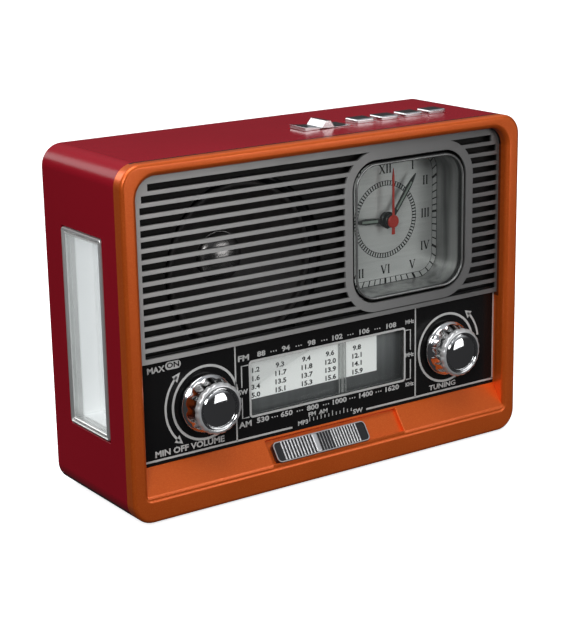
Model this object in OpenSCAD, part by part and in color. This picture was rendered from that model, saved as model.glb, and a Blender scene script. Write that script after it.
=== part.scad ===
// Retro clock radio with a tuning scale, a band slider and a quartz clock.
// X runs left to right, Y from front to back, Z up. The origin is the centre of the
// whole outline on the surface that the feet stand on.

/* [Case] */
// Width of the case
body_w = 210; // [208:1:214]
// Height of the case without its feet
body_h = 152; // [151:1:156]
// Depth of the case from frame to rear edge
body_d = 68; // [68:1:74]
// Outer corner radius of the case
corner_r = 9.5; // [8:0.5:11]
// Wall thickness of the cabinet
wall = 2.6; // [2.2:0.1:3]

/* [Front] */
// Depth of the orange front frame
frame_d = 6; // [5:0.5:6]
// Width of the frame's border at the sides
frame_border = 6; // [5.5:0.5:6.5]
// Number of slot rows in the grille
slot_rows = 16; // [14:1:16]
// Height of one grille slot
slot_h = 2.95; // [2.2:0.1:3.2]

/* [Clock] */
// Centre of the clock across the case
clock_x = 45.6; // [44:0.2:47]
// Centre of the clock above the case bottom
clock_z = 106.3; // [105:0.1:107.5]
// Half width of the grille opening round the clock
clock_half = 32.4; // [32:0.1:33]

/* [Tuning] */
// Rest position of the dial pointer across the case
pointer_x = 10.2; // [-20:0.2:20]
// Groove radius of the tuning drum
drum_r = 22.1; // [20:0.1:22.5]

/* [Knobs] */
// Radius of the base flange of each knob
knob_r = 12.8; // [12:0.1:13.4]
// Radius of the mirror cap on each knob
cap_r = 11.3; // [10.5:0.1:11.8]

/* [Speaker] */
// Outer radius of the speaker basket
speaker_r = 43; // [42.5:0.5:43.5]

/* [Antenna] */
// Length of the outer antenna tube
antenna_len = 160; // [120:5:165]

/* [Hidden] */
$fn = 64;

// Placement of the whole radio: outline centred on the origin, feet on the ground
foot_h = 1.2;
knob_front_y = -5.2;
antenna_back_y = 77;
mid_y = (knob_front_y + antenna_back_y) / 2;

half_w = body_w / 2;
inner_half_w = half_w - wall;
base_split_z = 4.5;
skin_gap = 0.2;

// Planes behind the front face
grille_y = frame_d;
panel_y = 8;
baffle_y = 10;
baffle_back_y = 12.5;
cover_y = body_d - 3.4;
cover_back_y = body_d - 1;

// Opening of the front frame and its sill
open_half = half_w - frame_border;
open_top_z = body_h - 4.8;
sill_front_z = 11.2;
sill_rear_z = 22;
sill_len = norm([panel_y, sill_rear_z - sill_front_z]);
sill_angle = atan2(sill_rear_z - sill_front_z, panel_y);

// Grille rows
grille_bottom_z = 67.4;
slot_top_z = body_h - 11;
slot_pitch = 4.68;
slot_left_x = -93.5;
slot_right_x = 97;

// Band slider in its recess
slider_x0 = -32.5;
slider_len = 50.5;
slider_travel = 19;
recess_x0 = slider_x0 - 1.5;
recess_len = slider_len + slider_travel + 3;
stem_x = slider_x0 + slider_len / 2;
stem_z0 = 11.5;
stem_z1 = 13.5;

// Scale window
window_x0 = -40.7;
window_x1 = 43.4;
window_z0 = 34;
window_z1 = 57.9;

// Knob axes
volume_x = -64;
tuning_x = 68.5;
knob_z = 44.8;
shaft_r = 3;
bearing_gap = 0.06;

// Tuning drive
drum_x = 8;
drum_z = 40;
drum_y = 18.4;
drum_h = 3;
pulley_left_x = -47;
pulley_right_x = 51;
pulley_z = 31.5;
pulley_r = 2.1;
pulley_y = 15.8;
pulley_h = 2;
cord_r = 0.4;
cord_gap = 0.8;
run_y = pulley_y + pulley_h / 2;

// Speaker axis
speaker_x = -41;
speaker_z = 100.5;

// Top controls
top_y = 28.5;
button_x0 = 34.3;
button_pitch = 13.8;
button_w = 10;
button_d = 9;
button_top = body_h + 1.9;
rocker_x = 12.2;
rocker_y = 28.2;
rocker_z = body_h - 3.5;
rocker_tilt = 3;

// Lamp in the left side
lamp_y0 = 18.3;
lamp_y1 = 53.1;
lamp_z0 = 32.4;
lamp_z1 = 119.9;

// Clock set behind its lens
tunnel_front_y = 7.2;
dial_y = 24.4;
movement_y = 25.4;
movement_back_y = 41.8;
well_y = 42.3;
well_half = 30;

// Battery well in the rear cover
pack_r = 9.1;
pack_x = -50;
pack_z = 23;
pack_y = 53.6;
door_half = 37;
door_z0 = 11;
door_z1 = 35;

// Antenna across the back
antenna_x = 86.5;
antenna_z = 138;
antenna_y = 74;

// ---------- shared shapes ----------

module place() {
    translate([0, -mid_y, foot_h]) children();
}

// Axis-aligned box between two corners
module box(low, high) {
    translate(low) cube(high - low);
}

// Outline with round corners, centred on the origin
module rounded(w, h, r) {
    square([w, h - 2 * r], center = true);
    square([w - 2 * r, h], center = true);
    for (x = [-1, 1], z = [-1, 1])
        translate([x * (w / 2 - r), z * (h / 2 - r)]) circle(r);
}

// Upright slab with round corners between two depths
module slab(w, h, r, y0, y1, x, z) {
    translate([x, y1, z]) rotate([90, 0, 0]) linear_extrude(y1 - y0) rounded(w, h, r);
}

// Round bar along Y
module bar_y(x, z, r, y0, y1) {
    translate([x, y0, z]) rotate([-90, 0, 0]) cylinder(h = y1 - y0, r = r);
}

// Round bar along X
module bar_x(y, z, r, x0, x1) {
    translate([x0, y, z]) rotate([0, 90, 0]) cylinder(h = x1 - x0, r = r);
}

// Round bar along Z
module bar_z(x, y, r, z0, z1) {
    translate([x, y, z0]) cylinder(h = z1 - z0, r = r);
}

// Turned shape about a Y axis; points are [radius, depth]
module turned(x, z, points) {
    translate([x, 0, z]) rotate([-90, 0, 0]) rotate_extrude() polygon(points);
}

// Prism along X with an outline in [depth, height]
module prism_x(x0, x1, points) {
    translate([x0, 0, 0]) rotate([90, 0, 90]) linear_extrude(x1 - x0) polygon(points);
}

// Full ring of the case, the cabinet and the base are cut from it
module case_ring(y0, y1) {
    difference() {
        slab(body_w, body_h, corner_r, y0, y1, 0, body_h / 2);
        slab(body_w - 2 * wall, body_h - 2 * wall, corner_r - wall, y0 - 1, y1 + 1, 0, body_h / 2);
    }
}

// ---------- case ----------

module cabinet() {
    color([0.55, 0.07, 0.13]) place() difference() {
        case_ring(frame_d, body_d);
        box([-half_w - 1, 0, -1], [half_w + 1, body_d + 1, base_split_z]);
        box([-half_w - 1, lamp_y0, lamp_z0], [-inner_half_w + 1, lamp_y1, lamp_z1]);
        for (i = [0:3])
            box([button_x0 + i * button_pitch - button_w / 2 - 0.35,
                 top_y - button_d / 2 - 0.35, body_h - 4],
                [button_x0 + i * button_pitch + button_w / 2 + 0.35,
                 top_y + button_d / 2 + 0.35, body_h + 1]);
        box([rocker_x - 13, rocker_y - 6.3, body_h - 4], [rocker_x + 13, rocker_y + 6.3, body_h + 1]);
    }
}

module base_cover() {
    color([0.05, 0.05, 0.05]) place() {
        intersection() {
            case_ring(frame_d, body_d);
            box([-half_w - 1, 0, -1], [half_w + 1, body_d + 1, base_split_z]);
        }
        // Slotted posts that hold the main board upright
        for (x = [-60, 60]) difference() {
            box([x - 4, 30, wall], [x + 4, 38, 10]);
            box([x - 5, 33, 5], [x + 5, 34.6, 11]);
        }
    }
}

module front_frame() {
    color([0.72, 0.32, 0.08]) place() difference() {
        union() {
            difference() {
                slab(body_w, body_h, corner_r, 0, frame_d, 0, body_h / 2);
                slab(2 * open_half, open_top_z - sill_front_z, 9, -1, frame_d + 1,
                     0, (open_top_z + sill_front_z) / 2);
            }
            // Sloping sill below the panel
            prism_x(-open_half - 1, open_half + 1,
                    [[0, sill_front_z], [panel_y, sill_rear_z], [12, sill_rear_z],
                     [12, 5.2], [frame_d, 5.2], [0, 2]]);
            // Side cheeks beside the panel
            for (s = [-1, 1])
                box([s * (open_half + 0.4) - 0.9, frame_d - 0.5, sill_rear_z - 1],
                    [s * (open_half + 0.4) + 0.9, panel_y, grille_bottom_z - 0.2]);
            // Pillars for the lower case screws
            for (s = [-1, 1]) bar_y(s * 95.5, 9.5, 3.4, 11, cover_y - 0.2);
        }
        // Recess that the band slider runs in
        translate([recess_x0, 0, sill_front_z]) rotate([sill_angle, 0, 0])
            translate([0, 0.6, -1.8]) cube([recess_len, sill_len - 1, 8]);
        // Slot for the slider's stem
        box([stem_x - 4.6, 1.5, stem_z0 - 0.6], [stem_x + 4.6 + slider_travel, 13, stem_z1 + 0.6]);
        for (s = [-1, 1]) bar_y(s * 95.5, 9.5, 1.3, cover_y - 14, cover_y + 1);
    }
}

module baffle() {
    color([0.07, 0.07, 0.07]) place() difference() {
        union() {
            intersection() {
                slab(2 * (inner_half_w - skin_gap), body_h - 2 * wall - 2 * skin_gap, corner_r - wall,
                     frame_d, baffle_back_y, 0, body_h / 2);
                box([-half_w, 0, sill_rear_z + 0.2], [half_w, 20, body_h]);
            }
            for (s = [-1, 1]) bar_y(s * 95.5, 142, 3.4, baffle_back_y - 0.5, cover_y - 0.2);
            bar_y(tuning_x, knob_z, 6, baffle_back_y - 0.5, 15);
            for (x = [pulley_left_x, pulley_right_x]) bar_y(x, pulley_z, 1, baffle_back_y - 0.5, 18.4);
        }
        slab(2 * (open_half + 2), 2 * (body_h - 3.6), 9, frame_d - 1, baffle_y, 0, 0);
        bar_y(speaker_x, speaker_z, 39.5, 9, 13);
        slab(63.8, 63.8, 12.6, 9, 13, clock_x, clock_z);
        box([window_x0 - 2, 9, 27.6], [window_x1 + 2.6, 13, 59.6]);
        bar_y(volume_x, knob_z, 3.6, 9, 13);
        bar_y(tuning_x, knob_z, shaft_r + bearing_gap, 9, 16);
        for (s = [-1, 1]) bar_y(s * 95.5, 142, 1.3, cover_y - 14, cover_y + 1);
    }
}

module vent_rows(x, z, w, rows) {
    for (i = [0:rows - 1])
        box([x - w / 2, cover_y - 1, z + i * 6], [x + w / 2, cover_back_y + 1, z + i * 6 + 2.6]);
}

module rear_cover() {
    color([0.08, 0.08, 0.08]) place() difference() {
        union() {
            intersection() {
                slab(2 * (inner_half_w - skin_gap), body_h - 2 * (wall + skin_gap), corner_r - wall,
                     cover_y, cover_back_y, 0, body_h / 2);
                box([-half_w, cover_y, 0], [half_w, cover_back_y, body_h]);
            }
            // Well behind the clock movement
            box([clock_x - well_half - 1.5, well_y, clock_z - well_half - 1.5],
                [clock_x + well_half + 1.5, cover_y + 1, clock_z + well_half + 1.5]);
            // Battery well
            box([pack_x - 36.5, pack_y - 10.6, pack_z - 11.4],
                [pack_x + 36.5, cover_y + 0.3, pack_z + 11.4]);
            // Clips for the ferrite rod
            for (x = [-68, 0]) box([x - 1, 47, 138], [x + 1, cover_y + 1, 147.6]);
            // Ledge that the folded antenna rests on
            box([-72, cover_y, antenna_z - 6.5], [-66, antenna_y + 2.5, antenna_z - 3.4]);
        }
        box([clock_x - well_half, well_y - 1, clock_z - well_half],
            [clock_x + well_half, cover_back_y + 1, clock_z + well_half]);
        box([pack_x - 35, pack_y - 9.3, pack_z - 10], [pack_x + 35, cover_y + 1, pack_z + 10]);
        box([pack_x - door_half - 0.3, cover_y, door_z0 - 0.3],
            [pack_x + door_half + 0.3, cover_back_y + 1, door_z1 + 0.3]);
        for (x = [-68, 0]) bar_x(52, 143, 4, x - 2, x + 2);
        vent_rows(speaker_x, 76, 56, 8);
        // Openings for the inlet, the sockets and the antenna spindle
        box([71.6, cover_y - 1, 17.6], [92.4, cover_back_y + 1, 30.4]);
        box([-84.4, cover_y - 1, 44.8], [-70.5, cover_back_y + 1, 51.7]);
        bar_y(-60, 48.6, 3.3, cover_y - 1, cover_back_y + 1);
        bar_y(antenna_x, antenna_z, 2.56, cover_y - 1, cover_back_y + 1);
        for (s = [-1, 1], z = [9.5, 142]) {
            bar_y(s * 95.5, z, 1.7, cover_y - 1, cover_back_y + 1);
            bar_y(s * 95.5, z, 3.1, cover_back_y - 1.2, cover_back_y + 1);
        }
    }
}

module case_screws() {
    color([0.6, 0.6, 0.62]) place() for (s = [-1, 1], z = [9.5, 142]) {
        bar_y(s * 95.5, z, 1.25, cover_back_y - 14, cover_back_y - 1);
        difference() {
            bar_y(s * 95.5, z, 2.9, cover_back_y - 1.2, cover_back_y);
            box([s * 95.5 - 2, cover_back_y - 0.7, z - 0.3], [s * 95.5 + 2, cover_back_y + 1, z + 0.3]);
            box([s * 95.5 - 0.3, cover_back_y - 0.7, z - 2], [s * 95.5 + 0.3, cover_back_y + 1, z + 2]);
        }
    }
}

module feet() {
    color([0.12, 0.12, 0.12]) place() for (s = [-1, 1], y = [14, body_d - 12])
        bar_z(s * 84, y, 6, -foot_h, 0);
}

// ---------- grille and panel ----------

module grille() {
    color([0.5, 0.5, 0.5]) place() difference() {
        intersection() {
            slab(2 * (open_half + 1.4), 2 * (open_top_z + 0.8 - grille_bottom_z), 9, grille_y, panel_y,
                 0, grille_bottom_z);
            box([-half_w, 0, grille_bottom_z], [half_w, 20, body_h]);
        }
        difference() {
            for (i = [0:slot_rows - 1]) {
                inset = i == 0 ? 4 : (i == 1 ? 0.9 : 0);
                box([slot_left_x + inset, grille_y - 1, slot_top_z - i * slot_pitch - slot_h / 2],
                    [slot_right_x - inset, panel_y + 1, slot_top_z - i * slot_pitch + slot_h / 2]);
            }
            slab(73, 73, 17, 0, 20, clock_x, clock_z);
        }
        slab(2 * clock_half, 2 * clock_half, 13, grille_y - 1, panel_y + 1, clock_x, clock_z);
    }
}

module dial_panel() {
    color([0.03, 0.03, 0.03]) place() difference() {
        box([-open_half - 1.4, panel_y, sill_rear_z + 0.1], [open_half + 1.4, baffle_y, 70]);
        box([window_x0, panel_y - 1, window_z0], [window_x1, baffle_y + 1, window_z1]);
        bar_y(volume_x, knob_z, 4.2, panel_y - 1, baffle_y + 1);
        bar_y(tuning_x, knob_z, 4.2, panel_y - 1, baffle_y + 1);
    }
}

module scale_lens() {
    color([0.85, 0.9, 0.9, 0.4]) place()
        box([window_x0 + 0.1, panel_y + 0.3, window_z0 + 0.1],
            [window_x1 - 0.1, baffle_y - 0.2, window_z1 - 0.1]);
}

module scale_plate() {
    color([0.93, 0.93, 0.9]) place() box([-42.4, 11.8, 39.9], [30.6, 12.5, 58.8]);
}

module light_guide() {
    color([0.7, 0.72, 0.74]) place() {
        box([-46, 12.5, 33], [49.4, 15.4, 57.2]);
        // Lower lip that the pointer's arm runs under
        box([-42, 13.4, 31.8], [45.4, 14.6, 33]);
    }
}

module dial_pointer() {
    color([0.8, 0.8, 0.8]) place() {
        box([pointer_x - 2, 10.4, 29.6], [pointer_x + 2, 11.2, 59]);
        box([pointer_x - 2.6, 10.4, 29.6], [pointer_x + 2.6, 17.8, 31.2]);
    }
}

// ---------- tuning drive ----------

// Points on an arc in the XZ plane, from angle a0 to a1, with depth running from y0 to y1
function arc(cx, cz, r, a0, a1, y0, y1, n) =
    [for (i = [0:n]) let (a = a0 + (a1 - a0) * i / n)
        [cx + r * cos(a), y0 + (y1 - y0) * i / n, cz + r * sin(a)]];

function unit(v) = v / norm(v);

// Radii of the cord's centre line on each wheel
pulley_line_r = pulley_r + cord_gap;
spindle_line_r = shaft_r + cord_gap;
drum_line_r = drum_r + cord_gap;

// Tangent points between the wheels
to_spindle = [tuning_x - pulley_right_x, knob_z - pulley_z];
up_angle = atan2(to_spindle[1], to_spindle[0])
    + asin((pulley_line_r + spindle_line_r) / norm(to_spindle));
to_drum = [drum_x - tuning_x, drum_z - knob_z];
over_angle = atan2(to_drum[1], to_drum[0]) + 360
    - asin((spindle_line_r + drum_line_r) / norm(to_drum));
to_left = [pulley_left_x - drum_x, pulley_z - drum_z];
off_angle = atan2(to_left[1], to_left[0]) + 360 - acos((drum_line_r - pulley_line_r) / norm(to_left));

cord_path = concat(
    arc(pulley_left_x, pulley_z, pulley_line_r, off_angle, 270, run_y, run_y, 5),
    arc(pulley_right_x, pulley_z, pulley_line_r, 270, up_angle + 270, run_y, run_y, 3),
    arc(tuning_x, knob_z, spindle_line_r, up_angle + 90, over_angle + 90 - 720, run_y, 19.2, 22),
    arc(drum_x, drum_z, drum_line_r, over_angle - 90, off_angle + 360, 19.4, 20.4, 34));

// Closed tube round a closed path
module closed_tube(path, r, sides) {
    n = len(path);
    rings = [for (i = [0:n - 1])
        let (t = unit(path[(i + 1) % n] - path[(i + n - 1) % n]),
             u = unit(cross(t, [0, 1, 0])),
             v = cross(t, u))
        for (k = [0:sides - 1]) path[i] + r * (u * cos(360 * k / sides) + v * sin(360 * k / sides))];
    faces = [for (i = [0:n - 1], k = [0:sides - 1])
        let (j = (i + 1) % n, m = (k + 1) % sides)
        [i * sides + k, j * sides + k, j * sides + m, i * sides + m]];
    polyhedron(rings, faces);
}

module dial_cord() {
    color([0.85, 0.82, 0.7]) place() closed_tube(cord_path, cord_r, 8);
}

module pulley(x) {
    color([0.9, 0.9, 0.85]) place() turned(x, pulley_z,
        [[1.06, pulley_y], [4, pulley_y], [pulley_r, pulley_y + 0.7], [pulley_r, pulley_y + pulley_h - 0.7],
         [4, pulley_y + pulley_h], [1.06, pulley_y + pulley_h]]);
}

module pulley_left() {
    pulley(pulley_left_x);
}

module pulley_right() {
    pulley(pulley_right_x);
}

module tuning_drum() {
    color([0.92, 0.9, 0.84]) place() difference() {
        union() {
            turned(drum_x, drum_z,
                [[0, drum_y + 0.6], [drum_r - 2, drum_y + 0.6],
                 [drum_r - 2, drum_y], [drum_r + 1.9, drum_y],
                 [drum_r + 1.9, drum_y + 0.4], [drum_r, drum_y + 0.5], [drum_r, drum_y + drum_h - 0.5],
                 [drum_r + 1.9, drum_y + drum_h - 0.4], [drum_r + 1.9, drum_y + drum_h],
                 [0, drum_y + drum_h]]);
            bar_y(drum_x, drum_z, 5, drum_y + 1, 21.9);
            bar_y(drum_x, drum_z, 2.5, drum_y + 1, 30);
        }
        for (a = [0:60:300])
            bar_y(drum_x + 13 * cos(a), drum_z + 13 * sin(a), 4.2, drum_y - 1, drum_y + drum_h + 1);
    }
}

module tuning_capacitor() {
    color([0.75, 0.75, 0.7]) place() difference() {
        box([drum_x - 10, 22.4, drum_z - 10], [drum_x + 10, 33, drum_z + 10]);
        bar_y(drum_x, drum_z, 2.5 + bearing_gap, 20, 31);
    }
}

// ---------- knobs ----------

module control_shaft(x, y1) {
    bar_y(x, knob_z, shaft_r, -1.6, y1);
}

module knob_body(x) {
    difference() {
        turned(x, knob_z,
            [[0, -0.6], [10.2, -0.6], [10.9, 4.6], [knob_r - 0.6, 4.9],
             [knob_r, 5.4], [knob_r, 7.4], [0, 7.4]]);
        bar_y(x, knob_z, shaft_r, -1.6, 9);
        turned(x, knob_z, [[6, 3], [9.4, 3], [9.4, 8], [6, 8]]);
    }
}

// Front cap with a raised rim and a domed mirror centre
module knob_cap(x) {
    dome_r = cap_r - 2.6;
    difference() {
        turned(x, knob_z, concat(
            [[0, -0.6], [cap_r - 0.6, -0.6], [cap_r, -1.2], [cap_r, -3.4],
             [cap_r - 0.6, -4], [dome_r + 0.5, -4],
             [dome_r, -3.4]],
            [for (i = [1:6]) [dome_r * cos(i * 15), -3.4 - 1.8 * sin(i * 15)]]));
        bar_y(x, knob_z, shaft_r + 0.3, -1.9, 0);
    }
}

module tuning_shaft() {
    color([0.8, 0.8, 0.82]) place() control_shaft(tuning_x, 21);
}

module tuning_knob() {
    color([0.75, 0.75, 0.77]) place() knob_body(tuning_x);
}

module tuning_cap() {
    color([0.85, 0.85, 0.87]) place() knob_cap(tuning_x);
}

module volume_shaft() {
    color([0.8, 0.8, 0.82]) place() control_shaft(volume_x, 20);
}

module volume_knob() {
    color([0.75, 0.75, 0.77]) place() knob_body(volume_x);
}

module volume_cap() {
    color([0.85, 0.85, 0.87]) place() knob_cap(volume_x);
}

module volume_control() {
    color([0.55, 0.56, 0.58]) place() difference() {
        union() {
            bar_y(volume_x, knob_z, 8.5, 13.2, 23);
            bar_y(volume_x, knob_z, 3.5, 10.4, 14);
            box([volume_x - 8, 19.5, 30], [volume_x + 8, 21.1, knob_z - 4]);
        }
        bar_y(volume_x, knob_z, shaft_r + bearing_gap, 9, 21);
    }
}

// ---------- band selector ----------

module band_slider() {
    color([0.8, 0.8, 0.82]) place() {
        difference() {
            translate([slider_x0, 0, sill_front_z]) rotate([sill_angle, 0, 0])
                translate([0, 0.9, -1.5]) cube([slider_len, 9.6, 3.1]);
            // Grooves between the finger ribs, with the wide ridge at the middle
            for (s = [-1, 1], i = [0:10])
                translate([stem_x + s * (3.6 + i * 2), 0, sill_front_z]) rotate([sill_angle, 0, 0])
                    translate([-0.45, 0, 0.9]) cube([0.9, sill_len, 2]);
        }
        box([stem_x - 4, 2.2, stem_z0], [stem_x + 4, 16, stem_z1]);
    }
}

module band_switch() {
    color([0.6, 0.6, 0.6]) place() {
        box([stem_x - 20, 16.4, 8.5], [stem_x + 20 + slider_travel, 23, 15.5]);
        // Plinth that stands it off the main board
        box([stem_x - 12, 23, 9.5], [stem_x + 12 + slider_travel, 33, 14.5]);
    }
}

// ---------- speaker ----------

module speaker_basket() {
    color([0.2, 0.2, 0.2]) place() difference() {
        turned(speaker_x, speaker_z,
            [[speaker_r, baffle_back_y], [speaker_r, 14], [39.6, 14.2], [25.2, 35.2], [12, 35.2], [12, 34],
             [24.2, 34], [38.4, baffle_back_y]]);
        for (a = [30:60:330]) translate([speaker_x, 0, speaker_z]) rotate([0, a, 0])
            box([25, 17, -7], [45, 31, 7]);
    }
}

module speaker_magnet() {
    color([0.25, 0.25, 0.26]) place() turned(speaker_x, speaker_z,
        [[0, 36], [8.2, 36], [8.2, 48], [10.4, 48], [10.4, 35.2], [22.5, 35.2], [22.5, 51], [0, 51]]);
}

module speaker_cone() {
    color([0.1, 0.1, 0.11]) place() turned(speaker_x, speaker_z,
        [[34.6, 13.6], [35.8, 13.8], [35.6, 14.6], [10, 33], [10, 44], [9, 44], [9, 32.4]]);
}

module dust_cap() {
    color([0.6, 0.6, 0.62]) place() turned(speaker_x, speaker_z, concat(
        [for (i = [0:5]) [11.2 * cos(i * 18), 30.7 - 4.6 * sin(i * 18)]],
        [for (i = [5:-1:0]) [10.6 * cos(i * 18), 30.9 - 4.2 * sin(i * 18)]]));
}

// ---------- clock ----------

module clock_lens() {
    color([0.85, 0.9, 0.92, 0.35]) place() slab(62.4, 62.4, 11.8, 5.6, tunnel_front_y, clock_x, clock_z);
}

module clock_tunnel() {
    color([0.6, 0.6, 0.6]) place() difference() {
        union() {
            slab(62.8, 62.8, 12, tunnel_front_y, dial_y, clock_x, clock_z);
            slab(69, 69, 14, baffle_back_y, 14, clock_x, clock_z);
        }
        slab(60.8, 60.8, 11, 5, 30, clock_x, clock_z);
    }
}

module clock_dial() {
    color([0.75, 0.75, 0.74]) place() difference() {
        slab(62.8, 62.8, 12, dial_y, movement_y, clock_x, clock_z);
        bar_y(clock_x, clock_z, 3.5, 20, 30);
    }
}

module clock_movement() {
    color([0.05, 0.05, 0.05]) place() difference() {
        union() {
            box([clock_x - 28, movement_y, clock_z - 28], [clock_x + 28, movement_back_y, clock_z + 28]);
            bar_y(clock_x, clock_z, 3.4, 23.4, movement_y + 1);
        }
        bar_y(clock_x, clock_z, 2.6, 23, 29.5);
        box([clock_x - 25.6, 26.4, clock_z - 25.2], [clock_x + 25.6, movement_back_y + 1, clock_z - 9.8]);
        bar_y(clock_x, clock_z, 1.06, 38, movement_back_y + 1);
    }
}

module clock_cell() {
    color([0.2, 0.35, 0.25]) place() {
        bar_x(33.8, clock_z - 17.5, 7.2, clock_x - 25, clock_x + 24);
        bar_x(33.8, clock_z - 17.5, 2.6, clock_x + 24, clock_x + 25.2);
    }
}

// Straight tapered hand with a round hub, pointing along its angle clockwise from the top
module hand(angle, length, tail, w0, w1, hub_r, y0, y1) {
    translate([clock_x, y1, clock_z]) rotate([0, angle, 0]) rotate([90, 0, 0]) linear_extrude(y1 - y0) {
        polygon([[-w0 / 2, -tail], [w0 / 2, -tail], [w0 / 2, 0], [w1 / 2, length],
                 [-w1 / 2, length], [-w0 / 2, 0]]);
        circle(hub_r);
    }
}

module hour_hand() {
    color([0.1, 0.13, 0.12]) place() difference() {
        union() {
            hand(273, 19, 3, 2.6, 2.2, 4, 22, 22.6);
            bar_y(clock_x, clock_z, 2.5, 22, 27.5);
        }
        bar_y(clock_x, clock_z, 1.7, 20, 30);
    }
}

module minute_hand() {
    color([0.1, 0.13, 0.12]) place() difference() {
        union() {
            hand(36, 25, 3, 2.4, 2, 3, 20.2, 20.8);
            bar_y(clock_x, clock_z, 1.62, 20.2, 28.5);
        }
        bar_y(clock_x, clock_z, 0.86, 19, 30);
    }
}

module second_hand() {
    color([0.75, 0.15, 0.1]) place() {
        hand(0, 24.2, 6, 1, 0.7, 3, 18.2, 18.7);
        bar_y(clock_x, clock_z, 0.8, 18.2, 29);
    }
}

module clock_set_knob() {
    color([0.1, 0.1, 0.1]) place() {
        bar_y(clock_x, clock_z, 5, movement_back_y + 0.4, movement_back_y + 3.6);
        bar_y(clock_x, clock_z, 1, 39, movement_back_y + 1);
        for (a = [0:30:330]) translate([clock_x, 0, clock_z]) rotate([0, a, 0])
            bar_y(4.9, 0, 0.6, movement_back_y + 0.4, movement_back_y + 3.6);
    }
}

// ---------- lamp ----------

module lamp_bezel() {
    color([0.6, 0.6, 0.6]) place() difference() {
        box([-half_w, lamp_y0 + 0.4, lamp_z0 + 0.4], [-half_w + 4.6, lamp_y1 - 0.4, lamp_z1 - 0.4]);
        box([-half_w - 1, lamp_y0 + 3, lamp_z0 + 3], [-half_w + 5, lamp_y1 - 3, lamp_z1 - 3]);
    }
}

module lamp_lens() {
    color([0.9, 0.93, 0.95, 0.4]) place()
        box([-half_w + 0.8, lamp_y0 + 3, lamp_z0 + 3], [-half_w + 2.4, lamp_y1 - 3, lamp_z1 - 3]);
}

module lamp_reflector() {
    color([0.95, 0.95, 0.95]) place() difference() {
        box([-half_w + 4.6, lamp_y0 + 1, lamp_z0 + 1], [-half_w + 15, lamp_y1 - 1, lamp_z1 - 1]);
        box([-half_w + 4, lamp_y0 + 3, lamp_z0 + 3], [-half_w + 13.4, lamp_y1 - 3, lamp_z1 - 3]);
    }
}

// ---------- top controls ----------

module button(i) {
    x = button_x0 + i * button_pitch;
    color([0.75, 0.75, 0.77]) place() {
        box([x - button_w / 2, top_y - button_d / 2, body_h - 4.6],
            [x + button_w / 2, top_y + button_d / 2, button_top]);
        box([x - button_w / 2 - 1, top_y - button_d / 2 - 1, body_h - 4.6],
            [x + button_w / 2 + 1, top_y + button_d / 2 + 1, body_h - 3]);
    }
}

module button_1() {
    button(0);
}

module button_2() {
    button(1);
}

module button_3() {
    button(2);
}

module button_4() {
    button(3);
}

// See-saw key with a raised rib across its middle
module lamp_rocker() {
    color([0.7, 0.7, 0.72]) place() translate([rocker_x, rocker_y, rocker_z]) rotate([0, rocker_tilt, 0])
        difference() {
            translate([0, 5.8, 0]) rotate([90, 0, 0]) linear_extrude(11.6)
                polygon([[-12.3, 2.2], [-12.3, 4.5], [-3.4, 4.1], [-1.2, 6.9], [1.2, 6.9], [3.4, 4.1],
                         [12.3, 4.5], [12.3, 2.2], [4, 1.4], [4, -3], [-4, -3], [-4, 1.4]]);
            for (s = [-1, 1]) translate([0, s * 5.3, 0]) cube([9, 1.4, 7.6], center = true);
            translate([0, 6, 0]) rotate([90, 0, 0]) cylinder(h = 12, r = 1 + bearing_gap);
        }
}

module top_board() {
    color([0.1, 0.35, 0.2]) place() {
        box([-3, baffle_back_y, 141], [84, 37.5, 142.6]);
        for (i = [0:3]) {
            x = button_x0 + i * button_pitch;
            box([x - 3, top_y - 3, 142.6], [x + 3, top_y + 3, 144.8]);
            bar_z(x, top_y, 1.6, 144.8, 146);
        }
        // Cradle of the rocker with its pivot pin
        for (s = [-1, 1]) box([rocker_x - 3, rocker_y + s * 5.4 - 0.5, 142.6],
                              [rocker_x + 3, rocker_y + s * 5.4 + 0.5, rocker_z + 2]);
        bar_y(rocker_x, rocker_z, 1, rocker_y - 5, rocker_y + 5);
    }
}

// ---------- electronics ----------

module main_board() {
    color([0.1, 0.35, 0.2]) place() {
        difference() {
            box([-84, 33, 5], [92, 34.6, 60]);
            for (x = [-80, 88], z = [9, 56]) bar_y(x, z, 1.6, 30, 40);
        }
        box([-40, 34.6, 40], [-22, 36.4, 48]);
        box([-20, 34.6, 42], [-8, 36.4, 50]);
        for (x = [-70, -58, 74]) bar_y(x, 42, 4, 34.6, 43);
        for (x = [-36:9:0]) box([x - 2, 34.6, 26], [x + 2, 38, 32]);
    }
}

module transformer() {
    color([0.35, 0.33, 0.3]) place() {
        box([20, 43, wall], [62, 59, 36]);
        box([27, 38, 9], [55, 43, 30]);
        box([27, 59, 9], [55, 63.6, 30]);
    }
}

module ferrite_rod() {
    color([0.2, 0.2, 0.2]) place() {
        bar_x(52, 143, 4, -74, 6);
        bar_x(52, 143, 5.2, -52, -26);
    }
}

module mains_inlet() {
    color([0.04, 0.04, 0.04]) place() {
        difference() {
            union() {
                box([71.8, 50, 17.8], [92.2, cover_back_y, 30.2]);
                box([69.6, 62.4, 15.6], [94.4, cover_y, 32.4]);
            }
            for (s = [-1, 1]) bar_y(82 + s * 4.3, 24, 3.9, 53, cover_back_y + 1);
            box([77.7, 53, 20.1], [86.3, cover_back_y + 1, 27.9]);
        }
        for (s = [-1, 1]) bar_y(82 + s * 4.3, 24, 1.2, 52, 63);
    }
}

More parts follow.
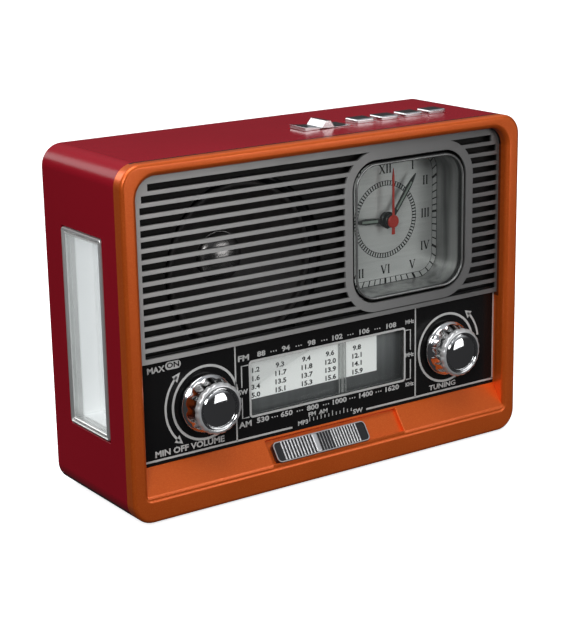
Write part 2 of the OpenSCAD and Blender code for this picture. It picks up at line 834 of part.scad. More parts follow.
module media_board() {
    color([0.1, 0.3, 0.4]) place() {
        box([-88, 44, 43.4], [-48, 64.2, 45]);
        difference() {
            box([-84, 52, 45], [-70.9, cover_back_y - 0.2, 51.3]);
            box([-83.5, 53, 46], [-71.4, cover_back_y, 50.7]);
        }
        box([-83, 53, 48.6], [-72, 64, 49.9]);
        difference() {
            union() {
                box([-64, 50, 45], [-56, 64.2, 52]);
                bar_y(-60, 48.6, 3, 64, cover_back_y - 0.2);
            }
            bar_y(-60, 48.6, 1.8, 52.8, cover_back_y + 1);
        }
    }
}

module battery_pack() {
    color([0.1, 0.3, 0.6]) place() {
        bar_x(pack_y, pack_z, pack_r, pack_x - 33, pack_x + 32);
        bar_x(pack_y, pack_z, 4, pack_x + 32, pack_x + 34);
    }
}

module battery_door() {
    color([0.09, 0.09, 0.09]) place() difference() {
        box([pack_x - door_half, cover_y + 0.5, door_z0],
            [pack_x + door_half, cover_back_y - 0.1, door_z1]);
        for (i = [0:4]) box([pack_x - 8, cover_back_y - 0.6, door_z1 - 4 - i * 1.6],
                            [pack_x + 8, cover_back_y + 1, door_z1 - 3.2 - i * 1.6]);
    }
}

// ---------- antenna ----------

module antenna_mount() {
    color([0.7, 0.7, 0.72]) place() {
        bar_y(antenna_x, antenna_z, 2.5, 61.5, cover_back_y + 0.6);
        bar_y(antenna_x, antenna_z, 6.5, cover_back_y + 0.4, cover_back_y + 2);
        for (s = [-1, 1]) box([antenna_x - 3, cover_back_y + 1.5, antenna_z + s * 4.2 - 0.8],
                              [antenna_x + 3, antenna_y + 2.6, antenna_z + s * 4.2 + 0.8]);
        bar_z(antenna_x, antenna_y, 1.2, antenna_z - 5, antenna_z + 5);
    }
}

module antenna_tube() {
    color([0.8, 0.8, 0.82]) place() difference() {
        union() {
            bar_z(antenna_x, antenna_y, 3, antenna_z - 3.1, antenna_z + 3.1);
            bar_x(antenna_y, antenna_z, 3, antenna_x - antenna_len, antenna_x);
        }
        bar_x(antenna_y, antenna_z, 2.45, antenna_x - antenna_len - 1, antenna_x - 6);
        bar_z(antenna_x, antenna_y, 1.2 + bearing_gap, antenna_z - 6, antenna_z + 6);
    }
}

module antenna_middle() {
    color([0.82, 0.82, 0.84]) place() difference() {
        bar_x(antenna_y, antenna_z, 2.4, antenna_x - antenna_len - 1, antenna_x - 8);
        bar_x(antenna_y, antenna_z, 1.75, antenna_x - antenna_len - 2, antenna_x - 12);
    }
}

module antenna_tip() {
    color([0.84, 0.84, 0.86]) place() {
        bar_x(antenna_y, antenna_z, 1.7, antenna_x - antenna_len - 2.4, antenna_x - 14);
        bar_x(antenna_y, antenna_z, 2.9, antenna_x - antenna_len - 7, antenna_x - antenna_len - 1.4);
    }
}

cabinet();
base_cover();
rear_cover();
front_frame();
baffle();
grille();
dial_panel();
clock_lens();
clock_tunnel();
clock_dial();
hour_hand();
minute_hand();
second_hand();
clock_movement();
clock_cell();
clock_set_knob();
scale_lens();
scale_plate();
light_guide();
dial_pointer();
dial_cord();
pulley_left();
pulley_right();
tuning_drum();
tuning_capacitor();
tuning_shaft();
tuning_knob();
tuning_cap();
volume_control();
volume_shaft();
volume_knob();
volume_cap();
band_slider();
band_switch();
speaker_basket();
speaker_magnet();
speaker_cone();
dust_cap();
lamp_bezel();
lamp_lens();
lamp_reflector();
lamp_rocker();
button_1();
button_2();
button_3();
button_4();
top_board();
main_board();
transformer();
ferrite_rod();
mains_inlet();
media_board();
battery_pack();
battery_door();
case_screws();
feet();
antenna_mount();
antenna_tube();
antenna_middle();
antenna_tip();
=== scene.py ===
import math

import bmesh
import bpy
from mathutils import Matrix, Vector


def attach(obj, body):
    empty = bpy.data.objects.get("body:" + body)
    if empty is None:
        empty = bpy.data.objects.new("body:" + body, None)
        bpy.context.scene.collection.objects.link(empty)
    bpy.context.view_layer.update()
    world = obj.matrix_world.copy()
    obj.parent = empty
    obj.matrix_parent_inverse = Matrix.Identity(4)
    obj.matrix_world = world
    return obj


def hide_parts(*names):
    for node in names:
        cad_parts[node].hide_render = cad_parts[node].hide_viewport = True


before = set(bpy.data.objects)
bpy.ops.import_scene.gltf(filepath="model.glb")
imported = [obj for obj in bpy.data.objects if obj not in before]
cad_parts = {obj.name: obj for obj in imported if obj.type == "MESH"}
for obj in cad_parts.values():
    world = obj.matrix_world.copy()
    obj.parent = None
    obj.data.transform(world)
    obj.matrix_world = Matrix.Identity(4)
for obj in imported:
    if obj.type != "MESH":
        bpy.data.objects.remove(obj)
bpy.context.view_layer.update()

# ---------------------------------------------------------------- cabinet
# The red wrap of the case: a moulded shell with a thick crimson lacquer, rounded at its
# four corners, with openings for the side lamp and the top keys. It slides over the inner
# chassis and is held by the screws in the rear cover.


middle_y, foot_height = 35.9, 1.2


def at(x, y, z):
    """A place given in the case's own millimetres, y back from its front, z up from its bottom."""
    return Vector((x / 1000, (y - middle_y) / 1000, (z + foot_height) / 1000))


class Shade:
    """A shader socket that joins in Python arithmetic with numbers and other sockets."""

    def __init__(self, tree, socket):
        self.tree, self.socket = tree, socket

    def node(self, kind, settings=None, sockets=None, out=0):
        """A new shader node of any kind, given by one of its outputs."""
        made = self.tree.nodes.new(kind)
        for name, value in (settings or {}).items():
            setattr(made, name, value)
        for name, value in (sockets or {}).items():
            if isinstance(value, Shade):
                self.tree.links.new(value.socket, made.inputs[name])
            else:
                made.inputs[name].default_value = value
        return Shade(self.tree, made.outputs[out])

    def maths(self, operation, *values):
        return self.node("ShaderNodeMath", {"operation": operation}, dict(enumerate(values)))

    def __add__(self, other):
        return self.maths("ADD", self, other)

    def __radd__(self, other):
        return self.maths("ADD", other, self)

    def __sub__(self, other):
        return self.maths("SUBTRACT", self, other)

    def __rsub__(self, other):
        return self.maths("SUBTRACT", other, self)

    def __mul__(self, other):
        return self.maths("MULTIPLY", self, other)

    def __rmul__(self, other):
        return self.maths("MULTIPLY", other, self)

    def __pow__(self, other):
        return self.maths("POWER", self, other)

    def __abs__(self):
        return self.maths("ABSOLUTE", self)

    def axis(self, index):
        """The x, y or z of a place."""
        return self.node("ShaderNodeSeparateXYZ", None, {0: self}, index)

    def rise(self, low, high):
        """Goes smoothly from 0 at low to 1 at high."""
        return self.node("ShaderNodeMapRange", {"interpolation_type": "SMOOTHSTEP"},
                         {0: self, 1: low, 2: high})

    def noise(self, scale, stretch=(1, 1, 1), detail=3):
        """Cloudy values about 0.5 over the surface."""
        place = self.node("ShaderNodeVectorMath", {"operation": "MULTIPLY"}, {0: self, 1: stretch})
        return self.node("ShaderNodeTexNoise", None, {"Vector": place, "Scale": scale, "Detail": detail})

    def between(self, first, second):
        """A colour from first to second by this value."""
        ends = [c if isinstance(c, Shade) else (*c, 1) for c in (first, second)]
        return self.node("ShaderNodeMix", {"data_type": "RGBA"}, {0: self, 6: ends[0], 7: ends[1]}, 2)

    def into(self, shader, name):
        """Links this value to a named socket of a shader."""
        self.tree.links.new(self.socket, shader.inputs[name])

    def bump(self, shader, strength, depth):
        """Uses this value as fine relief, depth metres high."""
        made = self.node("ShaderNodeBump", None, {"Strength": strength, "Distance": depth, "Height": self})
        made.into(shader, "Normal")


def finish(name, **settings):
    """A new finish, its shader, and the place on the surface that its patterns start from."""
    material = bpy.data.materials.new(name)
    material.use_nodes = True
    shader = material.node_tree.nodes["Principled BSDF"]
    for key, value in settings.items():
        shader.inputs[key.replace("_", " ")].default_value = value
    coordinates = material.node_tree.nodes.new("ShaderNodeTexCoord")
    return material, shader, Shade(material.node_tree, coordinates.outputs["Object"])


def piece(bm, name, body, slot, material, *nodes, crease=32, weighted=True):
    """Turns a finished bmesh into a piece of the radio that stands for the CAD nodes named."""
    bmesh.ops.remove_doubles(bm, verts=bm.verts, dist=1e-6)
    bmesh.ops.recalc_face_normals(bm, faces=bm.faces)
    mesh = bpy.data.meshes.new(name)
    bm.to_mesh(mesh)
    bm.free()
    mesh.polygons.foreach_set("use_smooth", [True] * len(mesh.polygons))
    mesh.set_sharp_from_angle(angle=math.radians(crease))
    mesh.materials.append(material)
    made = bpy.data.objects.new(name, mesh)
    bpy.context.scene.collection.objects.link(made)
    if weighted:
        normals = made.modifiers.new("normals", "WEIGHTED_NORMAL")
        normals.keep_sharp = True
    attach(made, body)
    if nodes:
        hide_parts(*nodes)
    return made


def softened(node, offset, segments=3):
    """A merged copy of a CAD node's mesh with its sharp edges rounded over, offset in millimetres."""
    bm = bmesh.new()
    bm.from_mesh(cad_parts[node].data)
    bmesh.ops.remove_doubles(bm, verts=bm.verts, dist=2e-6)
    bmesh.ops.dissolve_limit(bm, angle_limit=math.radians(1), verts=bm.verts, edges=bm.edges)
    bm.normal_update()
    least = math.radians(40)
    sharp = [e for e in bm.edges if len(e.link_faces) == 2 and e.calc_face_angle(0) > least]
    bmesh.ops.bevel(bm, geom=sharp, offset=offset / 1000, segments=segments, profile=0.5,
                    affect="EDGES", material=-1, clamp_overlap=True)
    bmesh.ops.triangulate(bm, faces=[f for f in bm.faces if len(f.verts) > 4])
    return bm


crimson, shader, here = finish("crimson_lacquer", Roughness=0.24, Specular_IOR_Level=0.13)
here.noise(9, detail=2).between((0.24, 0.005, 0.012), (0.31, 0.007, 0.018)).into(shader, "Base Color")
(0.17 + 0.1 * here.noise(35)).into(shader, "Roughness")
here.noise(700, detail=2).bump(shader, 0.05, 0.0002)

piece(softened("cabinet", 0.35, 2), "cabinet_shell", "case", "red_lacquer", crimson, "cabinet")

# ---------------------------------------------------------------- base and feet
# The underside is a separate black moulding that closes the bottom of the wrap and shows
# as a thin black edge. Four rubber discs are glued to it.

base_black, shader, here = finish("base_black", Roughness=0.55)
here.noise(60).between((0.012, 0.012, 0.013), (0.022, 0.022, 0.024)).into(shader, "Base Color")
here.noise(2600, detail=2).bump(shader, 0.25, 0.0003)
piece(softened("base_cover", 0.3, 2), "base_shell", "case", "black_base", base_black, "base_cover")

foot_rubber, shader, here = finish("foot_rubber", Roughness=0.8)
here.noise(120).between((0.015, 0.015, 0.015), (0.035, 0.035, 0.034)).into(shader, "Base Color")
here.noise(1500).bump(shader, 0.3, 0.0003)
piece(softened("feet", 0.3, 2), "rubber_feet", "case", "foot_rubber", foot_rubber, "feet")

# ---------------------------------------------------------------- front frame
# The front bezel is one moulding, painted with a copper-orange metallic lacquer. Its outer
# edge is rolled over, its opening is rounded, and its sill slopes up to the black panel.
# The band selector runs in a recess cut in that slope.


def outline(w, h, r, x, z, steps=10, low=None):
    """Points of a rectangle about x, z with corners of radius r, or of radius low at its bottom."""
    points = []
    for quarter, (sx, sz) in enumerate([(1, 1), (-1, 1), (-1, -1), (1, -1)]):
        turn = low if low and sz < 0 else r
        corner_x, corner_z = x + sx * (w / 2 - turn), z + sz * (h / 2 - turn)
        for i in range(steps + 1):
            a = math.pi / 2 * (quarter + i / steps)
            points.append((corner_x + turn * math.cos(a), corner_z + turn * math.sin(a)))
    return points


def skin(bm, first, second):
    """Joins two rings of the same count, point to point."""
    for i in range(len(first)):
        k = (i + 1) % len(first)
        bm.faces.new((first[i], first[k], second[k], second[i]))


def hoop(bm, rows, close=False, caps=False):
    """A closed band through outlines; each row is (points in x and z, depth y)."""
    rings = [[bm.verts.new(at(px, y, pz)) for px, pz in points] for points, y in rows]
    for first, second in zip(rings, rings[1:] + rings[:1] if close else rings[1:]):
        skin(bm, first, second)
    if caps:
        bm.faces.new(rings[0])
        bm.faces.new(rings[-1])


def block(bm, low, high, bevel, segments=2):
    """A box between two places in case millimetres, with rounded edges."""
    a, b = at(*low), at(*high)
    made = bmesh.ops.create_cube(bm, size=1)["verts"]
    bmesh.ops.scale(bm, verts=made, vec=b - a)
    bmesh.ops.translate(bm, verts=made, vec=(a + b) / 2)
    bmesh.ops.bevel(bm, geom=list({e for v in made for e in v.link_edges}), offset=bevel / 1000,
                    segments=segments, profile=0.5, affect="EDGES", material=-1)


def ridge(bm, section, x0, x1, bevel=0):
    """A bar along X with a section of (depth, height) points."""
    verts = [bm.verts.new(at(x0, y, z)) for y, z in section]
    face = bm.faces.new(verts)
    pulled = bmesh.ops.extrude_face_region(bm, geom=[face])["geom"]
    moved = [g for g in pulled if isinstance(g, bmesh.types.BMVert)]
    bmesh.ops.translate(bm, verts=moved, vec=Vector(((x1 - x0) / 1000, 0, 0)))
    if bevel:
        edges = list({e for v in verts + moved for e in v.link_edges})
        bmesh.ops.bevel(bm, geom=edges, offset=bevel / 1000, segments=3, profile=0.5,
                        affect="EDGES", material=-1)


copper, shader, here = finish("copper_orange", Metallic=0.5, Roughness=0.34, Coat_Weight=0.12,
                              Coat_Roughness=0.15)
flakes = here.node("ShaderNodeTexVoronoi", None, {"Vector": here, "Scale": 2600})
tone = here.noise(14, detail=2).between((0.60, 0.080, 0.005), (0.72, 0.102, 0.008))
lacquer = (0.3 * flakes.rise(0.1, 0.9)).between(tone, (0.90, 0.24, 0.035))
wall_x, wall_foot = 0.0979, 0.0666
inside = (wall_x - abs(here.axis(0))).rise(0, 0.0003) * here.axis(2).rise(wall_foot, wall_foot + 0.0004)
shadow_line = inside * here.axis(1).rise(-0.0318, -0.0309)
shadow_line.between(lacquer, (0.012, 0.006, 0.004)).into(shader, "Base Color")
(0.3 + 0.14 * here.noise(55)).into(shader, "Roughness")
here.noise(1500, detail=2).bump(shader, 0.12, 0.0002)

case_w, case_h = 210, 152
opening_w, opening_h, opening_z = 195.4, 135.2, 78.8
roll, lip, rim_back = 1.7, 2.2, 6
slope_foot, slope = 11.2, math.atan2(10.8, 8)


def outer(inset):
    """The frame's outer edge, drawn in by inset."""
    return outline(case_w - 2 * inset, case_h - 2 * inset, 9.5 - inset, 0, case_h / 2)


def inner(inset):
    """The frame's opening, drawn in by inset."""
    return outline(opening_w - 2 * inset, opening_h - 2 * inset, 9 - inset, 0, opening_z, low=1.6 - inset)


def on_slope(s, n):
    """Depth and height of a place s up the sill's slope and n out from it."""
    return (s * math.cos(slope) - n * math.sin(slope), slope_foot + s * math.sin(slope) + n * math.cos(slope))


bm = bmesh.new()
rows = [(outer(lip), rim_back), (outer(0), rim_back)]
for a in [math.pi / 2 * i / 7 for i in range(8)]:
    rows.append((outer(roll * (1 - math.cos(a))), roll * (1 - math.sin(a))))
for a in [math.pi / 2 * i / 5 for i in range(6)]:
    rows.append((inner(-lip * (1 - math.sin(a))), lip * (1 - math.cos(a))))
rows += [(inner(0), rim_back), (inner(-1.2), rim_back)]
hoop(bm, rows, close=True)
sill = [(1.0, 3), (0.35, 10.6), on_slope(1.0, 0.0), on_slope(13.44, 0), (12, 22), (12, 3)]
ridge(bm, sill, -99.6, -34.5, 0.4)
ridge(bm, sill, 38, 99.6, 0.4)
recess = [(1.0, 3), (0.5, 10.4), on_slope(1.2, 0), on_slope(1.5, -1.9), on_slope(12.4, -1.9),
          on_slope(12.6, 0), on_slope(13.44, 0), (12, 22), (12, 3)]
ridge(bm, recess, -34.9, 38.4)
for side in (-1, 1):
    block(bm, (side * 98.7 - 1.0, 5.5, 20), (side * 98.7 + 1.0, 8, 67.2), 0.3)
    pillar = bmesh.ops.create_cone(bm, cap_ends=True, segments=24, radius1=0.0034, radius2=0.0034,
                                   depth=0.0524)
    bmesh.ops.rotate(bm, verts=pillar["verts"], matrix=Matrix.Rotation(math.pi / 2, 3, "X"))
    bmesh.ops.translate(bm, verts=pillar["verts"], vec=at(side * 95.5, 38.2, 9.5))
piece(bm, "front_bezel", "case", "copper_paint", copper, "front_frame", crease=40)

# ---------------------------------------------------------------- baffle
# A black inner plate behind the grille carries the loudspeaker, the clock, the panel and
# the bearings of the tuning drive. It shows only through the slots.


def dress(material, *nodes):
    """Gives CAD nodes that stay as they are their own finish."""
    for node in nodes:
        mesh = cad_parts[node].data
        mesh.materials.clear()
        mesh.materials.append(material)


baffle_black, shader, here = finish("baffle_black", Roughness=0.6, Specular_IOR_Level=0.2)
here.noise(25).between((0.004, 0.0035, 0.0035), (0.010, 0.009, 0.008)).into(shader, "Base Color")
here.noise(900).bump(shader, 0.2, 0.0003)
dress(baffle_black, "baffle")

# ---------------------------------------------------------------- grille
# One flat moulding with sixteen rows of slots and a raised surround for the clock, painted
# a satin silver-grey on its face and black in its slots. The edges of its bars are softened.
# The face's grey darkens from left to right, which is painted shade.

grille_grey, shader, here = finish("grille_grey", Metallic=0.4, Roughness=0.36, Specular_IOR_Level=0.5)
# Painted shade: the grey of the face darkens from left to right, as under a light from the left.
painted_shade_to_right = here.axis(0).rise(-0.11, 0.11)
grey_with_painted_shade = painted_shade_to_right.between((0.50, 0.495, 0.485), (0.16, 0.16, 0.16))
in_slots = here.axis(1).rise(-0.0293, -0.0286)
in_slots.between(grey_with_painted_shade, (0.01, 0.01, 0.01)).into(shader, "Base Color")
(0.36 + 0.16 * here.noise(70)).into(shader, "Roughness")
here.noise(2200, detail=2).bump(shader, 0.2, 0.0002)
piece(softened("grille", 0.45, 3), "slotted_grille", "case", "grille_paint", grille_grey, "grille")

# ---------------------------------------------------------------- loudspeaker
# A full-range driver on the back of the baffle: pressed steel basket, ferrite magnet,
# black paper cone with a rolled surround, and a polished dust cap.


def turned(bm, x, z, profile, steps=64):
    """Spins a profile of (radius, depth) points about a front-to-back axis."""
    verts = [bm.verts.new(at(x + r, y, z)) for r, y in profile]
    edges = [bm.edges.new(pair) for pair in zip(verts, verts[1:])]
    bmesh.ops.spin(bm, geom=verts + edges, cent=at(x, 0, z), axis=Vector((0, 1, 0)), angle=2 * math.pi,
                   steps=steps, use_merge=True, dvec=Vector((0, 0, 0)))
    bmesh.ops.remove_doubles(bm, verts=bm.verts, dist=1e-6)


def bow(centre, wide, deep, degrees):
    """Points of (radius, depth) along an elliptical arc that bulges to the front."""
    turns = [math.radians(a) for a in degrees]
    return [(centre[0] + wide * math.cos(a), centre[1] - deep * math.sin(a)) for a in turns]


basket_black, shader, here = finish("basket_enamel", Roughness=0.35)
here.noise(40).between((0.014, 0.014, 0.015), (0.03, 0.03, 0.032)).into(shader, "Base Color")
here.noise(500).bump(shader, 0.12, 0.0003)
dress(basket_black, "speaker_basket")

ferrite, shader, here = finish("magnet_ferrite", Roughness=0.6)
here.noise(90).between((0.03, 0.03, 0.033), (0.08, 0.08, 0.085)).into(shader, "Base Color")
here.noise(700).bump(shader, 0.25, 0.0004)
dress(ferrite, "speaker_magnet")

paper, shader, here = finish("cone_paper", Roughness=0.55)
here.noise(260, (1, 0.3, 1)).between((0.02, 0.018, 0.018), (0.05, 0.045, 0.043)).into(shader, "Base Color")
here.noise(1300, detail=4).bump(shader, 0.35, 0.0004)
speaker_x, speaker_z = -41, 100.5
surround = [(36.1, 14.9)] + bow((34.8, 14.3), 1.3, 1.4, range(0, 181, 20))
cone_front = [(33.2, 15.2), (9.6, 32.2), (9.4, 44)]
cone_back = [(9.9, 44), (10.2, 32.9), (33.6, 15.9), (36.1, 14.9)]
bm = bmesh.new()
turned(bm, speaker_x, speaker_z, surround + cone_front + cone_back, 96)
piece(bm, "paper_cone", "cone", "cone_black", paper, "speaker_cone")

cap_metal, shader, here = finish("dust_cap_metal", Metallic=1.0, Roughness=0.22)
here.noise(50).between((0.20, 0.195, 0.19), (0.34, 0.33, 0.325)).into(shader, "Base Color")
(0.16 + 0.16 * here.noise(200)).into(shader, "Roughness")
bm = bmesh.new()
dome = bow((0, 30.9), 11.3, 4.7, range(0, 90, 9))
turned(bm, speaker_x, speaker_z, [(12.2, 31.0)] + dome + [(0, 26.2)])
piece(bm, "polished_dust_cap", "cone", "cap_silver", cap_metal, "dust_cap")

# ---------------------------------------------------------------- clock
# A quartz clock set deep behind the grille. A silver-painted tunnel with round corners
# leads back to an aluminium dial with black print. The tunnel's front end, by the lens, is
# darkened to near black as painted shade.

tunnel_paint, shader, here = finish("tunnel_silver", Metallic=0.7, Roughness=0.3)
drawn = here.noise(130, (1, 1, 0.06), 3)
silver = drawn.rise(0.25, 0.75).between((0.13, 0.132, 0.13), (0.56, 0.562, 0.555))
# Painted shade: the front end of the tunnel, by the lens, is near black.
mouth_painted_shade = here.axis(1).rise(-0.0275, -0.0262)
mouth_painted_shade.between((0.012, 0.012, 0.012), silver).into(shader, "Base Color")
(0.22 + 0.2 * drawn).into(shader, "Roughness")
here.noise(1200).bump(shader, 0.1, 0.0002)
clock_x, clock_z, dial_y = 45.6, 106.3, 24.4


def rim(half, r):
    """A rounded square about the clock's centre."""
    return outline(2 * half, 2 * half, r, clock_x, clock_z, 12)


bm = bmesh.new()
flange = [(rim(31.4, 12), 14), (rim(34.5, 14), 14), (rim(34.5, 14), 12.5), (rim(31.4, 12), 12.5)]
mouth = [(rim(31.4, 12), 7.5), (rim(31.1, 11.7), 7.2), (rim(30.7, 11.3), 7.3), (rim(30.4, 11), 7.7)]
hoop(bm, [(rim(31.4, 12), dial_y)] + flange + mouth + [(rim(30.4, 11), dial_y)], close=True)
piece(bm, "clock_tunnel_shell", "case", "tunnel_silver", tunnel_paint, "clock_tunnel", crease=50)

dial_metal, shader, here = finish("dial_satin", Metallic=0.35, Roughness=0.4)
brushed = here.noise(900, (0.05, 1, 1), 2)
brushed.between((0.62, 0.625, 0.615), (0.80, 0.805, 0.79)).into(shader, "Base Color")
(0.32 + 0.16 * here.noise(120)).into(shader, "Roughness")
brushed.bump(shader, 0.08, 0.0002)
dress(dial_metal, "clock_dial")


def strip(bm, path, width, y, closed=False, deep=0.05):
    """A printed line of even width along a path in the front plane at depth y."""
    points = [Vector(p) for p in path]
    count = len(points)
    rings = []
    for i, p in enumerate(points):
        before = points[i - 1] if closed or i else p
        after = points[(i + 1) % count] if closed or i < count - 1 else p
        along = (after - before).normalized()
        side = Vector((-along.y, along.x)) * width / 2
        corners = [(p + side, y), (p - side, y), (p - side, y - deep), (p + side, y - deep)]
        rings.append([bm.verts.new(at(c.x, d, c.y)) for c, d in corners])
    for first, second in zip(rings, rings[1:] + rings[:1] if closed else rings[1:]):
        skin(bm, first, second)
    if not closed:
        bm.faces.new(rings[0])
        bm.faces.new(rings[-1])


def patch(bm, corners, y, deep=0.05):
    """A flat printed shape with these corners in the front plane."""
    face = bm.faces.new([bm.verts.new(at(x, y, z)) for x, z in corners])
    pulled = bmesh.ops.extrude_face_region(bm, geom=[face])["geom"]
    bmesh.ops.translate(bm, verts=[g for g in pulled if isinstance(g, bmesh.types.BMVert)],
                        vec=Vector((0, -deep / 1000, 0)))


def ring(x, z, r, first=0, last=360, steps=72):
    """Points along an arc in the front plane, in degrees from the right, anticlockwise."""
    span = [math.radians(first + (last - first) * i / steps) for i in range(steps + (last - first < 360))]
    return [(x + r * math.cos(a), z + r * math.sin(a)) for a in span]


def numeral(bm, text, x, z, high, y):
    """Roman figures drawn as serif letters: thick strokes, thin strokes and flat serifs."""
    wide = {"I": 0.44 * high, "V": 0.98 * high, "X": 0.98 * high}
    left = x - sum(wide[c] for c in text) / 2
    thick, thin, half, reach = 0.19 * high, 0.08 * high, high / 2, 0.33 * high
    for c in text:
        mid = left + wide[c] / 2
        if c == "I":
            strip(bm, [(mid, z - half), (mid, z + half)], thick, y)
            feet = [(mid, 1), (mid, -1)]
        elif c == "V":
            strip(bm, [(mid - reach, z + half), (mid, z - half)], thick, y)
            strip(bm, [(mid + reach, z + half), (mid, z - half)], thin, y)
            feet = [(mid - reach, 1), (mid + reach, 1)]
        else:
            strip(bm, [(mid - reach, z + half), (mid + reach, z - half)], thick, y)
            strip(bm, [(mid + reach, z + half), (mid - reach, z - half)], thin, y)
            feet = [(mid - reach, 1), (mid + reach, 1), (mid - reach, -1), (mid + reach, -1)]
        for fx, end in feet:
            strip(bm, [(fx - 0.13 * high, z + end * half), (fx + 0.13 * high, z + end * half)], thin, y)
        left += wide[c]


print_black, shader, here = finish("black_print", Roughness=0.6, Specular_IOR_Level=0.2)
here.noise(300).between((0.004, 0.004, 0.004), (0.010, 0.010, 0.010)).into(shader, "Base Color")
band_halves, band_corner, track_radii = (27.6, 30.3), 19.4, (15.8, 17.9)


def from_centre(degrees, reach):
    """A place on the dial this far from its centre, in degrees from the right."""
    a = math.radians(degrees)
    return (clock_x + reach * math.cos(a), clock_z + reach * math.sin(a))


def band_reach(half, degrees):
    """How far the minute band's rounded square of this half width is from the centre."""
    across, up = abs(math.cos(math.radians(degrees))), abs(math.sin(math.radians(degrees)))
    reach = half / max(across, up)
    if min(across, up) * reach > band_corner:
        along = band_corner * (across + up)
        reach = along + math.sqrt(max(along ** 2 - 2 * band_corner ** 2 + (half - band_corner) ** 2, 0))
    return reach


figure_places = (("XII", 0, 1), ("I", 0.68, 1), ("II", 1, 0.66), ("III", 1, 0), ("IV", 1, -0.66),
                 ("V", 0.68, -1), ("VI", 0, -1), ("VII", -0.68, -1), ("VIII", -1, -0.66), ("IX", -1, 0),
                 ("X", -1, 0.66), ("XI", -0.68, 1))
bm = bmesh.new()
for text, across, up in figure_places:
    numeral(bm, text, clock_x + 23.5 * across, clock_z + 23.5 * up, 4.0, dial_y)
for half in band_halves:
    strip(bm, rim(half, half - band_corner), 0.2, dial_y, closed=True)
for minute in range(60):
    ends = [from_centre(6 * minute, band_reach(half, 6 * minute)) for half in band_halves]
    strip(bm, ends, 0.55 if minute % 5 else 1.1, dial_y)
for tick in range(72):
    strip(bm, [from_centre(5 * tick, r) for r in track_radii], 0.6, dial_y)
for r in track_radii:
    strip(bm, ring(clock_x, clock_z, r), 0.24, dial_y, closed=True)
piece(bm, "dial_figures", "case", "dial_silver", print_black, weighted=False)

# ---------------------------------------------------------------- clock hands
# Stamped hands pressed on the three coaxial arbors: dark hour and minute hands with an
# inlaid greenish stripe, and a red second hand with a round boss and a short tail.

hand_dark, shader, here = finish("hand_lacquer", Metallic=0.2, Roughness=0.3)
here.noise(200).between((0.010, 0.013, 0.012), (0.022, 0.026, 0.024)).into(shader, "Base Color")
stripe, shader, here = finish("hand_stripe", Roughness=0.55)
here.noise(150).between((0.25, 0.32, 0.27), (0.33, 0.40, 0.34)).into(shader, "Base Color")
hand_red, shader, here = finish("hand_red", Metallic=0.1, Roughness=0.28)
here.noise(120).between((0.55, 0.02, 0.01), (0.68, 0.035, 0.015)).into(shader, "Base Color")


def clock_hand(bm, sides, angle, y0, y1, pin_r, pin_y1, boss_r, hole=0.0):
    """A flat hand from its right-hand side's (half width, distance) points, with boss and tube."""
    shape = sides + [(-w, d) for w, d in reversed(sides)]
    turn = Matrix.Rotation(math.radians(-angle), 2)
    centre = Vector((clock_x, clock_z))
    patch(bm, [centre + turn @ Vector(p) for p in shape], y1, y1 - y0)
    section = [(hole, y0 - 0.25), (boss_r - 0.3, y0 - 0.25), (boss_r, y0), (boss_r, y1), (pin_r, y1),
               (pin_r, pin_y1), (hole, pin_y1)]
    turned(bm, clock_x, clock_z, section + (section[:1] if hole else []), 48)


hour_angle, hour_y, minute_angle, minute_y = 273, 22.0, 36, 20.2
bm = bmesh.new()
hour_sides = [(0.7, -4), (1.0, 0), (1.25, 6), (1.45, 13), (0.9, 16.4), (0.05, 19)]
clock_hand(bm, hour_sides, hour_angle, hour_y, hour_y + 0.6, 2.5, 27.5, 3.9, 1.7)
piece(bm, "hour_hand_blade", "hour", "hand_dark", hand_dark, "hour_hand", weighted=False)
bm = bmesh.new()
minute_sides = [(0.6, -4), (0.9, 0), (1.15, 9), (1.2, 18), (0.8, 21.6), (0.05, 25)]
clock_hand(bm, minute_sides, minute_angle, minute_y, minute_y + 0.6, 1.62, 28.5, 2.9, 0.86)
piece(bm, "minute_hand_blade", "minute", "hand_dark", hand_dark, "minute_hand", weighted=False)
stripes = (("hour", hour_angle, hour_y, 15, 1.1), ("minute", minute_angle, minute_y, 20.5, 0.9))
for body, angle, y, far, wide in stripes:
    bm = bmesh.new()
    strip(bm, [from_centre(90 - angle, d) for d in (6, far)], wide, y, deep=0.04)
    piece(bm, body + "_stripe", body, "hand_dark", stripe, weighted=False)
bm = bmesh.new()
clock_hand(bm, [(0.9, -6), (0.55, 0), (0.55, 21), (0.05, 24.6)], 0, 18.2, 18.6, 0.8, 29, 3.0)
piece(bm, "second_hand_blade", "second", "hand_red", hand_red, "second_hand", weighted=False)

# ---------------------------------------------------------------- clock lens
# A clear acrylic tray with a rounded square outline and a bevelled edge, glued to the
# mouth of the tunnel. It closes the clock off and stands slightly proud of the grille.


def clear(name, tint, roughness, share):
    """Thin clear plastic: mostly see-through, with a share of gloss that grows to grazing views."""
    material, shader, here = finish(name, Roughness=roughness, IOR=1.49, Specular_IOR_Level=0.6)
    here.noise(20, detail=1).between(tint, tuple(1.05 * c for c in tint)).into(shader, "Base Color")
    tree = material.node_tree
    glaze = here.node("ShaderNodeLayerWeight", None, {"Blend": 0.28})
    through = here.node("ShaderNodeBsdfTransparent", None, {"Color": (0.95, 0.96, 0.955, 1)})
    gloss = Shade(tree, shader.outputs[0])
    body = here.node("ShaderNodeMixShader", None, {0: share + 0.3 * glaze, 1: through, 2: gloss})
    tree.links.new(body.socket, tree.nodes["Material Output"].inputs["Surface"])
    return material


